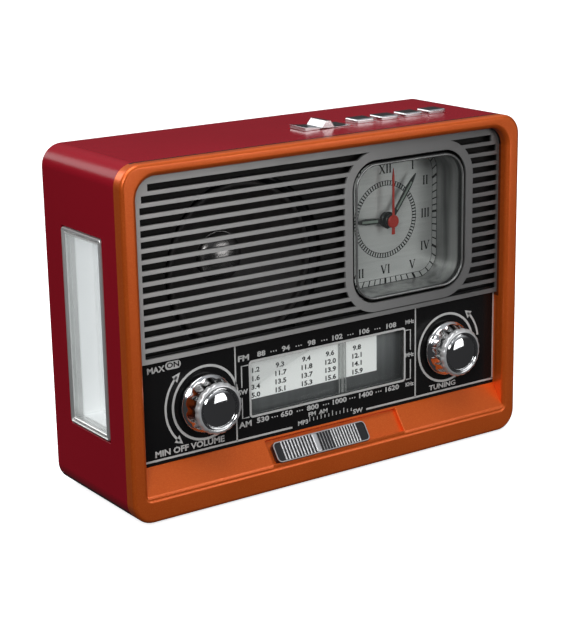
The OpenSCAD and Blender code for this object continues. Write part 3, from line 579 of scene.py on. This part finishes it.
lens_clear = clear("clock_acrylic", (0.30, 0.31, 0.31), 0.05, 0.03)
bm = bmesh.new()
rows = [(rim(31, 11.6), 7.2), (rim(31, 11.6), 6.1), (rim(30.5, 11.1), 5.6)]
hoop(bm, rows, caps=True)
piece(bm, "clock_window", "case", "clear_lens", lens_clear, "clock_lens", crease=25, weighted=False)
edge_chrome, shader, here = finish("lens_edge", Metallic=0.6, Roughness=0.25)
here.noise(80).between((0.16, 0.165, 0.165), (0.34, 0.345, 0.34)).into(shader, "Base Color")
bm = bmesh.new()
rows = [(rim(30.9, 11.5), 6.1), (rim(30.8, 11.4), 5.6), (rim(30.5, 11.1), 5.4), (rim(30.0, 10.6), 5.45),
        (rim(29.8, 10.4), 5.75), (rim(29.9, 10.5), 6.1)]
hoop(bm, rows, close=True)
piece(bm, "clock_window_edge", "case", "clear_lens", edge_chrome, crease=60)

# ---------------------------------------------------------------- clock movement
# The quartz movement is a black moulded box on the back of the dial, with one AA cell in
# an open bay and a ridged knob on its back for setting the hands.

movement_black, shader, here = finish("movement_moulding", Roughness=0.48)
here.noise(50).between((0.014, 0.014, 0.015), (0.028, 0.028, 0.03)).into(shader, "Base Color")
here.noise(1600).bump(shader, 0.2, 0.0002)
piece(softened("clock_movement", 0.4, 2), "movement_box", "case", "movement_black", movement_black,
      "clock_movement")
piece(softened("clock_set_knob", 0.15, 1), "setting_knob", "setter", "movement_black", movement_black,
      "clock_set_knob")

cell_jacket, shader, here = finish("cell_jacket", Roughness=0.3, Metallic=0.2)
band = (here.axis(0) - 0.058).rise(-0.0002, 0.0002)
band.between((0.03, 0.10, 0.05), (0.55, 0.42, 0.16)).into(shader, "Base Color")
here.noise(300).bump(shader, 0.05, 0.0002)
piece(softened("clock_cell", 0.4, 2), "clock_dry_cell", "case", "cell_jacket", cell_jacket, "clock_cell")

# ---------------------------------------------------------------- dial panel
# A gloss black panel under the grille, screen printed in silver and white with the scale
# legends, the two knob rings with their arrows, and the band marks above the selector.

panel_black, shader, here = finish("panel_gloss", Roughness=0.2, Specular_IOR_Level=0.3)
here.noise(12).between((0.005, 0.005, 0.0055), (0.011, 0.0105, 0.0105)).into(shader, "Base Color")
(0.16 + 0.1 * here.noise(40)).into(shader, "Roughness")
here.noise(600, detail=1).bump(shader, 0.03, 0.0002)
dress(panel_black, "dial_panel")


def write(bm, text, x, z, high, y, wide):
    """Sets a word or figures in plain sans letters, its capitals high millimetres tall."""
    deep = 0.05
    curve = bpy.data.curves.new("letters", "FONT")
    curve.body, curve.size, curve.resolution_u = text, 0.001 * high / 0.72, 2
    curve.align_x, curve.align_y, curve.extrude = "CENTER", "CENTER", 0.001 * deep / 2
    curve.offset = 0.00004 * high
    holder = bpy.data.objects.new("letters", curve)
    bpy.context.scene.collection.objects.link(holder)
    mesh = bpy.data.meshes.new_from_object(holder.evaluated_get(bpy.context.evaluated_depsgraph_get()))
    mesh.transform(Matrix.Translation(at(x, y - deep / 2, z)) @ Matrix.Rotation(math.pi / 2, 4, "X")
                   @ Matrix.Diagonal((wide, 1, 1, 1)))
    bm.from_mesh(mesh)
    bpy.data.objects.remove(holder)
    bpy.data.curves.remove(curve)
    bpy.data.meshes.remove(mesh)


print_white, shader, here = finish("white_print", Roughness=0.45)
here.noise(300).between((0.50, 0.50, 0.49), (0.66, 0.66, 0.645)).into(shader, "Base Color")
panel_y = 8.0
fm_figures = (("88", -35.1), ("94", -22.2), ("98", -8.4), ("102", 5.4), ("106", 20.5), ("108", 35.8))
am_figures = (("530", -35.0), ("650", -22.4), ("800", -8.2), ("1000", 6.3), ("1400", 21.2), ("1620", 36.3))
words = (("FM", -44.3, 60.6, 2.6, 1.35), ("AM", -44.0, 30.6, 2.6, 1.25), ("SW", -45.0, 45.4, 2.2, 1.05),
         ("MHz", 46.8, 61, 1.9, 1.0), ("KHz", 46.8, 31, 1.9, 1.0), ("MHz", 46.8, 45.2, 1.9, 0.95),
         ("MAX", -87.85, 63.6, 2.6, 1.08), ("MIN OFF VOLUME", -72.4, 26.6, 2.7, 1.15),
         ("TUNING", 66.6, 26.5, 2.4, 1.25), ("MP3", -13.6, 25.0, 2.0, 1.15), ("FM", -8.6, 28.0, 1.9, 1.3),
         ("AM", -2.4, 28.0, 1.9, 1.25), ("SW", 16.8, 24.2, 2.1, 1.25))
bm = bmesh.new()
for row, figures in ((61.0, fm_figures), (31.0, am_figures)):
    for text, x in figures:
        write(bm, text, x, row, 2.3, panel_y, 1.35)
    for (_, a), (_, b) in zip(figures, figures[1:]):
        for step in (-1.35, 0, 1.35):
            mid = (a + b) / 2 + step
            strip(bm, [(mid - 0.28, row), (mid + 0.28, row)], 0.56, panel_y)
for text, x, z, high, wide in words:
    write(bm, text, x, z, high, panel_y, wide)
for i in range(12):
    x, tall = -10 + i * 2.1, 1.5 if i % 3 else 2.4
    strip(bm, [(x, 24.9), (x, 24.9 + tall)], 0.4, panel_y)
for x0, end in ((-45.5, 3.6), (47.3, -2.6)):
    strip(bm, [(x0 + end, 57.2), (x0, 57.2), (x0, 47.6)], 0.55, panel_y)
    strip(bm, [(x0, 43.0), (x0, 33.6), (x0 + end, 33.6)], 0.55, panel_y)
piece(bm, "panel_legends", "case", "black_panel", print_white, weighted=False)

print_silver, shader, here = finish("silver_print", Metallic=0.3, Roughness=0.4)
here.noise(200).between((0.62, 0.62, 0.61), (0.78, 0.78, 0.76)).into(shader, "Base Color")
volume_x, tuning_x, knob_z = -64, 68.5, 44.8
pill_x, pill_z = -79.4, 64.4
bm = bmesh.new()
patch(bm, outline(7.6, 3.5, 1.7, pill_x, pill_z, 5), panel_y)
for x in (volume_x, tuning_x):
    strip(bm, ring(x, knob_z, 16.2), 1.1, panel_y, closed=True)
for x0, x1 in ((-98.2, -19.4), (21.6, 97.8)):
    strip(bm, [(x0, 24.0), (x1, 24.0)], 0.9, panel_y)
strip(bm, [(97.4, 24), (97.4, 67.2)], 0.8, panel_y)
for x in (-48.6, 50.2):
    strip(bm, [(x, 24), (x, 67.2)], 0.7, panel_y)


def arrow(bm, x, r, first, last, ends):
    """An arc about a knob from first to last degrees, with a head at the ends asked for."""
    strip(bm, ring(x, knob_z, r, first + 4 * (first in ends), last - 4 * (last in ends), 24), 1.0, panel_y)
    for end, way in ((first, -1), (last, 1)):
        if end in ends:
            out = Vector((math.cos(math.radians(end)), math.sin(math.radians(end))))
            foot = Vector(ring(x, knob_z, r, end - way * 9, end, 1)[0])
            tip = Vector((x, knob_z)) + r * out + 0.8 * way * Vector((-out.y, out.x))
            patch(bm, [foot + 1.9 * out, tip, foot - 1.9 * out], panel_y)


arrow(bm, volume_x, 19.8, 130, 231, (130, 231))
arrow(bm, tuning_x, 19.6, 8, 52, (52,))
strip(bm, outline(85.2, 25.0, 1.2, 1.35, 45.95, 4), 1.0, panel_y, closed=True)
piece(bm, "panel_silver_lines", "case", "black_panel", print_silver, weighted=False)
bm = bmesh.new()
write(bm, "ON", pill_x, pill_z, 2.3, panel_y - 0.05, 1.25)
piece(bm, "panel_pill_word", "case", "black_panel", print_black, weighted=False)

# ---------------------------------------------------------------- tuning scale
# Behind the panel's window a white card printed with short-wave figures stands on a grey
# light guide, and the pointer, a clear bar with fine lines, runs in front of both. The card
# is given a faint glow of its own as painted light, and the guide's grey has painted light
# towards its top and painted shade towards its right.

guide_grey, shader, here = finish("light_guide", Roughness=0.3, Metallic=0.35)
streaks = here.noise(420, (1, 1, 0.02), 4)
# Painted light and shade: the guide's grey is lighter towards its top and darker towards its right.
down = here.axis(2).rise(0.034, 0.060)
right = here.axis(0).rise(0.025, 0.045)
streaks_and_painted_light = (0.25 + 0.75 * down) * (0.55 + 0.45 * streaks) * (1 - 0.45 * right)
streaks_and_painted_light.between((0.05, 0.052, 0.055), (0.72, 0.74, 0.75)).into(shader, "Base Color")
streaks.bump(shader, 0.3, 0.0004)
dress(guide_grey, "light_guide")

# Painted light: the card is given a faint white glow of its own.
card_with_painted_glow, shader, here = finish("scale_card", Roughness=0.5, Emission_Color=(0.93, 0.94, 0.93, 1),
                                  Emission_Strength=0.42)
here.noise(22, detail=1).between((0.78, 0.79, 0.78), (0.93, 0.935, 0.92)).into(shader, "Base Color")
here.noise(900).bump(shader, 0.05, 0.0002)
dress(card_with_painted_glow, "scale_plate")

bm = bmesh.new()
card_y = 11.8
columns = ((-35.9, ("1.2", "1.6", "3.4", "5.0")), (-22.8, ("9.3", "11.7", "13.5", "15.1")),
           (-8.7, ("9.4", "11.8", "13.7", "15.3")), (4.3, ("9.6", "12.0", "13.9", "15.6")),
           (19.4, ("9.8", "12.1", "14.1", "15.9")))
for x, figures in columns:
    for text, z in zip(figures, (52.8, 49.0, 45.2, 41.5)):
        write(bm, text, x, z, 2.2, card_y, 1.25)
piece(bm, "scale_figures", "case", "scale_print", print_black, weighted=False)

needle_clear = clear("pointer_clear", (0.42, 0.43, 0.43), 0.08, 0.25)
bm = bmesh.new()
block(bm, (8.2, 10.45, 29.8), (12.2, 11.2, 59), 0.2)
block(bm, (7.6, 10.4, 29.6), (12.8, 17.8, 31.2), 0.2)
piece(bm, "pointer_bar", "pointer", "pointer_clear", needle_clear, "dial_pointer", weighted=False)
bm = bmesh.new()
for x, w in ((8.35, 0.3), (9.6, 0.16), (10.2, 0.35), (10.8, 0.16), (12.05, 0.3)):
    strip(bm, [(x, 31.4), (x, 58.8)], w, 10.45, deep=0.04)
piece(bm, "pointer_lines", "pointer", "pointer_clear", print_silver, weighted=False)

window_clear = clear("scale_acrylic", (0.30, 0.31, 0.31), 0.03, 0.02)
bm = bmesh.new()
block(bm, (-40.6, 8.3, 34.1), (43.3, 9.8, 57.8), 0.3)
piece(bm, "scale_window", "case", "clear_lens", window_clear, "scale_lens", weighted=False)

# ---------------------------------------------------------------- tuning drive
# The tuning spindle pulls a waxed cord round a moulded drum on the tuning capacitor and
# over two small pulleys; the pointer is clipped to the cord's lower run.

drive_cream, shader, here = finish("drive_moulding", Roughness=0.42)
here.noise(60).between((0.66, 0.63, 0.54), (0.78, 0.75, 0.66)).into(shader, "Base Color")
here.noise(900).bump(shader, 0.1, 0.0002)
dress(drive_cream, "tuning_drum", "pulley_left", "pulley_right")

braid, shader, here = finish("waxed_braid", Roughness=0.65)
here.noise(1800, detail=2).between((0.45, 0.40, 0.26), (0.72, 0.67, 0.5)).into(shader, "Base Color")
here.noise(2400, detail=2).bump(shader, 0.5, 0.0002)
dress(braid, "dial_cord")

plated, shader, here = finish("plated_steel", Metallic=1.0, Roughness=0.3)
here.noise(90).between((0.42, 0.42, 0.43), (0.58, 0.58, 0.57)).into(shader, "Base Color")
(0.24 + 0.18 * here.noise(160)).into(shader, "Roughness")
dress(plated, "tuning_capacitor", "volume_control", "band_switch", "tuning_shaft", "volume_shaft")

# ---------------------------------------------------------------- knobs
# Both knobs are moulded and chromed: a round flange by the panel, a grip with shallow
# flutes that narrows forward, and a separate cap with a wavy rim and a domed mirror centre.

chrome, shader, here = finish("knob_chrome", Metallic=1.0, Roughness=0.09)
here.noise(60).between((0.62, 0.625, 0.63), (0.78, 0.785, 0.79)).into(shader, "Base Color")
(0.05 + 0.1 * here.noise(120)).into(shader, "Roughness")
here.noise(260, detail=2).bump(shader, 0.04, 0.0003)


def fluted(bm, x, z, sections, count):
    """Stacks closed rings of (depth, radius, flute depth), with count flutes round them."""
    steps, loops = 144, []
    for y, r, cut in sections:
        ringed = []
        for i in range(steps):
            a = 2 * math.pi * i / steps
            reach = r - cut * (0.5 + 0.5 * math.cos(count * a)) ** 2
            ringed.append((x + reach * math.cos(a), z + reach * math.sin(a)))
        loops.append((ringed, y))
    hoop(bm, loops, caps=True)


cap_chrome, shader, here = finish("cap_chrome", Roughness=0.1)
across = abs(here.axis(0) - (volume_x + tuning_x) / 2000) - (tuning_x - volume_x) / 2000
from_axis = (across ** 2 + (here.axis(2) - at(0, 0, knob_z).z) ** 2) ** 0.5
satin = from_axis.rise(0.0094, 0.0098)
here.noise(60).between((0.58, 0.585, 0.59), (0.72, 0.725, 0.73)).into(shader, "Base Color")
(1 - 0.5 * satin).into(shader, "Metallic")
(0.06 + 0.24 * satin).into(shader, "Roughness")
here.noise(260, detail=2).bump(shader, 0.04, 0.0003)
grip = [(7.4, 12.2, 0), (7.1, 12.8, 0), (6.3, 12.8, 0), (5.8, 12.5, 0), (5.5, 11.9, 0), (5.1, 11.6, 0.05),
        (4.6, 11.4, 0.5), (2.6, 10.4, 0.55), (0.8, 9.8, 0.4), (0.2, 9.6, 0.2), (-0.2, 9.5, 0), (-0.6, 9.5, 0)]
cap = [(-0.6, 9.8, 0), (-0.9, 10.7, 0.1), (-1.4, 11.25, 0.35), (-2.5, 11.3, 0.4), (-3.1, 11.0, 0.3),
       (-3.5, 10.5, 0.1), (-3.7, 10.0, 0), (-3.75, 9.5, 0), (-3.6, 9.1, 0), (-3.1, 8.9, 0), (-2.7, 8.7, 0),
       (-2.8, 8.4, 0)]
cap += [(y, r, 0) for r, y in bow((0, -2.8), 8.3, 2.0, range(9, 90, 9))]
for name, x in (("volume", volume_x), ("tuning", tuning_x)):
    bm = bmesh.new()
    fluted(bm, x, knob_z, grip, 10)
    piece(bm, name + "_grip", name, "chrome_knob", chrome, name + "_knob", crease=48)
    bm = bmesh.new()
    fluted(bm, x, knob_z, cap, 20)
    piece(bm, name + "_mirror_cap", name, "chrome_knob", cap_chrome, name + "_cap", crease=48)

# ---------------------------------------------------------------- band selector
# A chromed slide with rows of finger ribs either side of a plain raised ridge; below the rib
# tops it is darkened to near black as painted shade. Its stem passes through the sill to the
# band switch.

key_chrome, shader, here = finish("key_chrome", Metallic=1.0, Roughness=0.16)
here.noise(70).between((0.60, 0.60, 0.61), (0.75, 0.75, 0.755)).into(shader, "Base Color")
(0.1 + 0.14 * here.noise(150)).into(shader, "Roughness")
here.noise(300, detail=2).bump(shader, 0.05, 0.0003)
rib_chrome, shader, here = finish("rib_chrome", Metallic=0.8, Roughness=0.3)
out_of_slope = here.axis(2) * math.cos(slope) - here.axis(1) * math.sin(slope)
foot_line = at(0, 0, slope_foot)
level = foot_line.z * math.cos(slope) - foot_line.y * math.sin(slope)
tone = here.noise(70).between((0.62, 0.62, 0.63), (0.78, 0.78, 0.785))
# Painted shade: the chrome below the rib tops, in the valleys and down the sides, is near black.
rib_tops_over_painted_shade = out_of_slope.rise(level + 0.0008, level + 0.0012)
rib_tops_over_painted_shade.between((0.05, 0.05, 0.052), tone).into(shader, "Base Color")


def tray(inset):
    """The slide's outline in the front plane, drawn in by inset."""
    return outline(50.5 - 2 * inset, 9.6 - 2 * inset, 2.2 - inset, -7.25, 16.9, 5)


bm = bmesh.new()
rows = [(tray(0), 1.5), (tray(0), -1.0), (tray(0.15), -1.2), (tray(0.5), -1.2), (tray(0.6), -0.7)]
hoop(bm, rows, caps=True)
ribs = [(-28.0 + 1.68 * i, 0.8, 1.5) for i in range(10)] + [(-10.15, 3.0, 1.6)]
ribs += [(-7.2 + 1.55 * i, 0.6, 1.0) for i in range(4)] + [(-1.0 + 1.5 * i, 0.75, 1.45) for i in range(10)]
for mid, wide, high in ribs:
    block(bm, (mid - wide / 2, -high, 12.5), (mid + wide / 2, -0.3, 21.3), min(0.7, 0.42 * wide), 4)
to_slope = Matrix.Rotation(slope - math.pi / 2, 3, "X")
bmesh.ops.rotate(bm, verts=bm.verts, cent=foot_line, matrix=to_slope)
block(bm, (-11.2, 2.2, 11.5), (-3.2, 16, 13.5), 0.2)
piece(bm, "ribbed_slide", "slider", "chrome_key", rib_chrome, "band_slider", crease=45)

# ---------------------------------------------------------------- side lamp
# A lamp is let into the left side: a satin metal bezel, a clear lens and behind it a deep
# white diffusing tray.

bezel_metal, shader, here = finish("bezel_satin", Metallic=0.7, Roughness=0.24)
# Painted light: the bezel's grey grows lighter towards the top.
here.axis(2).rise(0.03, 0.12).between((0.60, 0.60, 0.59), (0.80, 0.80, 0.79)).into(shader, "Base Color")
(0.26 + 0.12 * here.noise(90)).into(shader, "Roughness")
bm = bmesh.new()
bezel_lip = [(0, 4.6), (0, 0.2), (0.25, -0.25), (0.8, -0.35), (1.1, -0.1), (1.25, 0.8), (1.75, 0.8),
             (1.9, 0.1), (2.3, -0.05), (2.6, 0.2), (2.6, 4.6)]
rows = [(outline(34 - 2 * inset, 86.7 - 2 * inset, max(1.4 - inset, 0.15), 0.2, 76.15, 4), y - 69.1)
        for inset, y in bezel_lip]
hoop(bm, rows, close=True)
bmesh.ops.rotate(bm, verts=bm.verts, matrix=Matrix.Rotation(-math.pi / 2, 3, "Z"))
piece(bm, "lamp_surround", "case", "bezel_satin", bezel_metal, "lamp_bezel", crease=50)
diffuser, shader, here = finish("lamp_white", Roughness=0.45, Emission_Strength=0.38)
cavity = abs(here.axis(1) + 0.0002).rise(0.0149, 0.0147) * here.axis(0).rise(-0.0908, -0.0912)
cavity.between((0, 0, 0), (0.95, 0.97, 1)).into(shader, "Emission Color")
here.noise(16, detail=1).between((0.80, 0.81, 0.81), (0.92, 0.925, 0.92)).into(shader, "Base Color")
here.noise(500).bump(shader, 0.08, 0.0003)
piece(softened("lamp_reflector", 0.8, 3), "lamp_tray", "case", "reflector_white", diffuser, "lamp_reflector")
lamp_clear = clear("lamp_acrylic", (0.60, 0.61, 0.62), 0.04, 0.04)
piece(softened("lamp_lens", 0.2, 1), "lamp_cover", "case", "clear_lens", lamp_clear, "lamp_lens",
      weighted=False)

# ---------------------------------------------------------------- top keys
# Four square push keys and a see-saw lamp key with a raised rib, all chromed, stand
# through the top. They press on small switches on the board below.

first_key_x, key_pitch = 34.3, 13.8
for i in range(4):
    x, number = first_key_x + key_pitch * i, str(i + 1)
    bm = bmesh.new()
    block(bm, (x - 5, 24, 147.6), (x + 5, 33, 153.9), 0.7, 3)
    block(bm, (x - 6, 23, 147.4), (x + 6, 34, 149), 0.2)
    piece(bm, "push_key_" + number, "key_" + number, "chrome_key", key_chrome, "button_" + number, crease=45)
piece(softened("lamp_rocker", 0.35, 3), "seesaw_key", "rocker", "chrome_key", key_chrome, "lamp_rocker",
      crease=45)

# ---------------------------------------------------------------- electronics
# Green circuit boards, the mains transformer with its laminated core, and the ferrite
# rod with its wound coil fill the case behind the baffle.

solder_mask, shader, here = finish("solder_mask", Roughness=0.3, Coat_Weight=0.3)
tracks = here.noise(160, (1, 0.2, 1), 1).rise(0.48, 0.52)
tracks.between((0.006, 0.07, 0.028), (0.012, 0.12, 0.05)).into(shader, "Base Color")
tracks.bump(shader, 0.25, 0.0003)
dress(solder_mask, "main_board", "top_board")
core_metal, shader, here = finish("core_laminations", Metallic=0.6, Roughness=0.45)
layers = here.node("ShaderNodeTexWave", {"wave_type": "BANDS", "bands_direction": "Y"},
                   {"Vector": here, "Scale": 320}, 1)
layers.between((0.06, 0.055, 0.05), (0.16, 0.15, 0.14)).into(shader, "Base Color")
layers.bump(shader, 0.3, 0.0004)
dress(core_metal, "transformer")
rod_dark, shader, here = finish("ferrite_and_coil", Roughness=0.5)
winding = here.node("ShaderNodeTexWave", {"wave_type": "BANDS", "bands_direction": "X"},
                    {"Vector": here, "Scale": 420}, 1)
coil = abs(here.axis(0) + 0.039).rise(0.0131, 0.0129)
wire = winding.between((0.22, 0.07, 0.02), (0.5, 0.2, 0.07))
coil.between((0.03, 0.03, 0.032), wire).into(shader, "Base Color")
(coil * winding).bump(shader, 0.3, 0.0003)
dress(rod_dark, "ferrite_rod")

# ---------------------------------------------------------------- rear cover
# The back is a black textured moulding, screwed on at its corners. It has vent slots
# behind the loudspeaker, a well over the clock movement and a hatch over the battery.

rear_black, shader, here = finish("rear_texture", Roughness=0.5)
here.noise(40).between((0.013, 0.013, 0.014), (0.024, 0.024, 0.026)).into(shader, "Base Color")
(0.42 + 0.2 * here.noise(200)).into(shader, "Roughness")
here.noise(2600, detail=2).bump(shader, 0.35, 0.0003)
piece(softened("rear_cover", 0.3, 2), "rear_shell", "case", "rear_black", rear_black, "rear_cover")
piece(softened("battery_door", 0.3, 2), "battery_hatch", "door", "rear_black", rear_black, "battery_door")
piece(softened("case_screws", 0.12, 2), "cover_screws", "case", "steel", plated, "case_screws")
inlet_black, shader, here = finish("inlet_moulding", Roughness=0.35)
here.noise(80).between((0.009, 0.009, 0.01), (0.02, 0.02, 0.021)).into(shader, "Base Color")
here.noise(1200).bump(shader, 0.12, 0.0002)
piece(softened("mains_inlet", 0.25, 2), "two_pole_inlet", "case", "inlet_black", inlet_black, "mains_inlet")
socket_metal, shader, here = finish("media_board_mix", Roughness=0.3)
board = here.axis(2).rise(0.04612, 0.04618)
metal_tone = here.noise(120).between((0.42, 0.42, 0.43), (0.58, 0.58, 0.58))
board.between((0.01, 0.09, 0.04), metal_tone).into(shader, "Base Color")
(0.9 * board).into(shader, "Metallic")
dress(socket_metal, "media_board")
sleeve, shader, here = finish("cell_sleeve", Roughness=0.25, Coat_Weight=0.4)
cap_end = (here.axis(0) + 0.0184).rise(-0.0001, 0.0001)
cap_end.between((0.01, 0.06, 0.24), (0.5, 0.5, 0.5)).into(shader, "Base Color")
here.noise(90, (0.3, 1, 1)).bump(shader, 0.12, 0.0004)
piece(softened("battery_pack", 0.6, 3), "rechargeable_cell", "case", "cell_blue", sleeve, "battery_pack")

# ---------------------------------------------------------------- antenna
# A chromed telescopic antenna folds flat across the back. Its foot turns on the cover,
# its elbow tips back in a small fork, and two inner sections pull out.

tube_chrome, shader, here = finish("antenna_chrome", Metallic=1.0, Roughness=0.12)
here.noise(40, (0.1, 1, 1)).between((0.64, 0.645, 0.65), (0.78, 0.785, 0.79)).into(shader, "Base Color")
(0.08 + 0.12 * here.noise(300, (0.05, 1, 1))).into(shader, "Roughness")
piece(softened("antenna_mount", 0.3, 2), "antenna_fork", "antenna_base", "chrome_knob", tube_chrome,
      "antenna_mount", crease=40)
dress(tube_chrome, "antenna_tube", "antenna_middle")
bm = bmesh.new()
tip = [(0, 0), (1.5, 0), (2.4, 0.35), (2.85, 0.9), (2.85, 4.4), (2.5, 5.1), (1.7, 5.4), (1.7, 153), (0, 153)]
rod_x, rod_y, rod_z = -80.5, 74, 138
verts = [bm.verts.new(at(rod_x + along, rod_y, rod_z + r)) for r, along in tip]
edges = [bm.edges.new(pair) for pair in zip(verts, verts[1:])]
bmesh.ops.spin(bm, geom=verts + edges, cent=at(0, rod_y, rod_z), axis=Vector((1, 0, 0)), angle=2 * math.pi,
               steps=40, use_merge=True, dvec=Vector((0, 0, 0)))
piece(bm, "antenna_tip_rod", "antenna_end", "chrome_knob", tube_chrome, "antenna_tip", crease=40)

# ---------------------------------------------------------------- studio
# A seamless pale sweep that casts no light back, a soft light overhead, one on each side
# and one behind. The room is dark low down and paler overhead, so the chrome has contrast.

sweep_white, shader, here = finish("sweep_white", Roughness=0.7, Emission_Color=(1, 1, 1, 1),
                                   Emission_Strength=0.75)
here.noise(2, detail=1).between((0.93, 0.93, 0.93), (0.95, 0.95, 0.95)).into(shader, "Base Color")
bm = bmesh.new()
turns = [math.radians(a) for a in range(0, 91, 9)]
bend = [(1.6 + 0.9 * math.sin(a), 0.9 - 0.9 * math.cos(a)) for a in turns]
verts = [bm.verts.new((-4, y, z)) for y, z in [(-3.2, 0)] + bend + [(2.5, 3.6)]]
path = [bm.edges.new(pair) for pair in zip(verts, verts[1:])]
pulled = bmesh.ops.extrude_edge_only(bm, edges=path)["geom"]
bmesh.ops.translate(bm, verts=[g for g in pulled if isinstance(g, bmesh.types.BMVert)], vec=(8, 0, 0))
bmesh.ops.rotate(bm, verts=bm.verts, matrix=Matrix.Rotation(math.radians(-34.7), 3, "Z"))
mesh = bpy.data.meshes.new("sweep")
bm.to_mesh(mesh)
bm.free()
mesh.polygons.foreach_set("use_smooth", [True] * len(mesh.polygons))
mesh.materials.append(sweep_white)
sweep = bpy.data.objects.new("sweep", mesh)
sweep.visible_glossy = sweep.visible_diffuse = False
bpy.context.scene.collection.objects.link(sweep)

world = bpy.data.worlds.new("studio")
bpy.context.scene.world = world
world.use_nodes = True
room = world.node_tree.nodes["Background"]
way = Shade(world.node_tree, world.node_tree.nodes.new("ShaderNodeTexCoord").outputs["Generated"])
way.axis(2).rise(0.15, 0.9).between((0.04, 0.04, 0.042), (0.55, 0.565, 0.59)).into(room, "Color")


def soft_light(name, place, target, size, power):
    """A square area light at a place, turned to its target."""
    lamp = bpy.data.lights.new(name, "AREA")
    lamp.energy, lamp.size = power, size
    holder = bpy.data.objects.new(name, lamp)
    bpy.context.scene.collection.objects.link(holder)
    holder.location = place
    holder.rotation_euler = (Vector(target) - Vector(place)).to_track_quat("-Z", "Y").to_euler()


soft_light("overhead", (-0.3, -0.2, 1.3), (0, 0, 0.05), 0.9, 10)
soft_light("key_left", (-1.15, -1.2, 0.85), (0, 0, 0.08), 0.6, 12)
soft_light("rear_left", (-0.8, 1.3, 0.9), (0, 0, 0.07), 0.8, 7)
soft_light("fill_right", (0.68, -1.34, 0.24), (0, 0, 0.06), 0.7, 4.5)

round_by, raised, tilt = math.radians(-34.69), math.radians(15.70), math.radians(-0.98)
level_back = Vector((math.sin(round_by), -math.cos(round_by), 0))
back = math.cos(raised) * level_back + Vector((0, 0, math.sin(raised)))
level_side = Vector((math.cos(round_by), math.sin(round_by), 0))
level_up = back.cross(level_side)
side = math.cos(tilt) * level_side + math.sin(tilt) * level_up
up = math.cos(tilt) * level_up - math.sin(tilt) * level_side
view = bpy.data.cameras.new("view")
view.sensor_width, view.lens = 36, 95.9
view.clip_start = 0.05
camera = bpy.data.objects.new("view", view)
bpy.context.scene.collection.objects.link(camera)
aim, distance = at(-1.26, 33.9, 64.48), 0.7738
turned_to = Matrix((side, up, back)).transposed().to_4x4()
camera.matrix_world = Matrix.Translation(aim + distance * back) @ turned_to
bpy.context.scene.camera = camera
bpy.context.scene.view_settings.view_transform = "Standard"
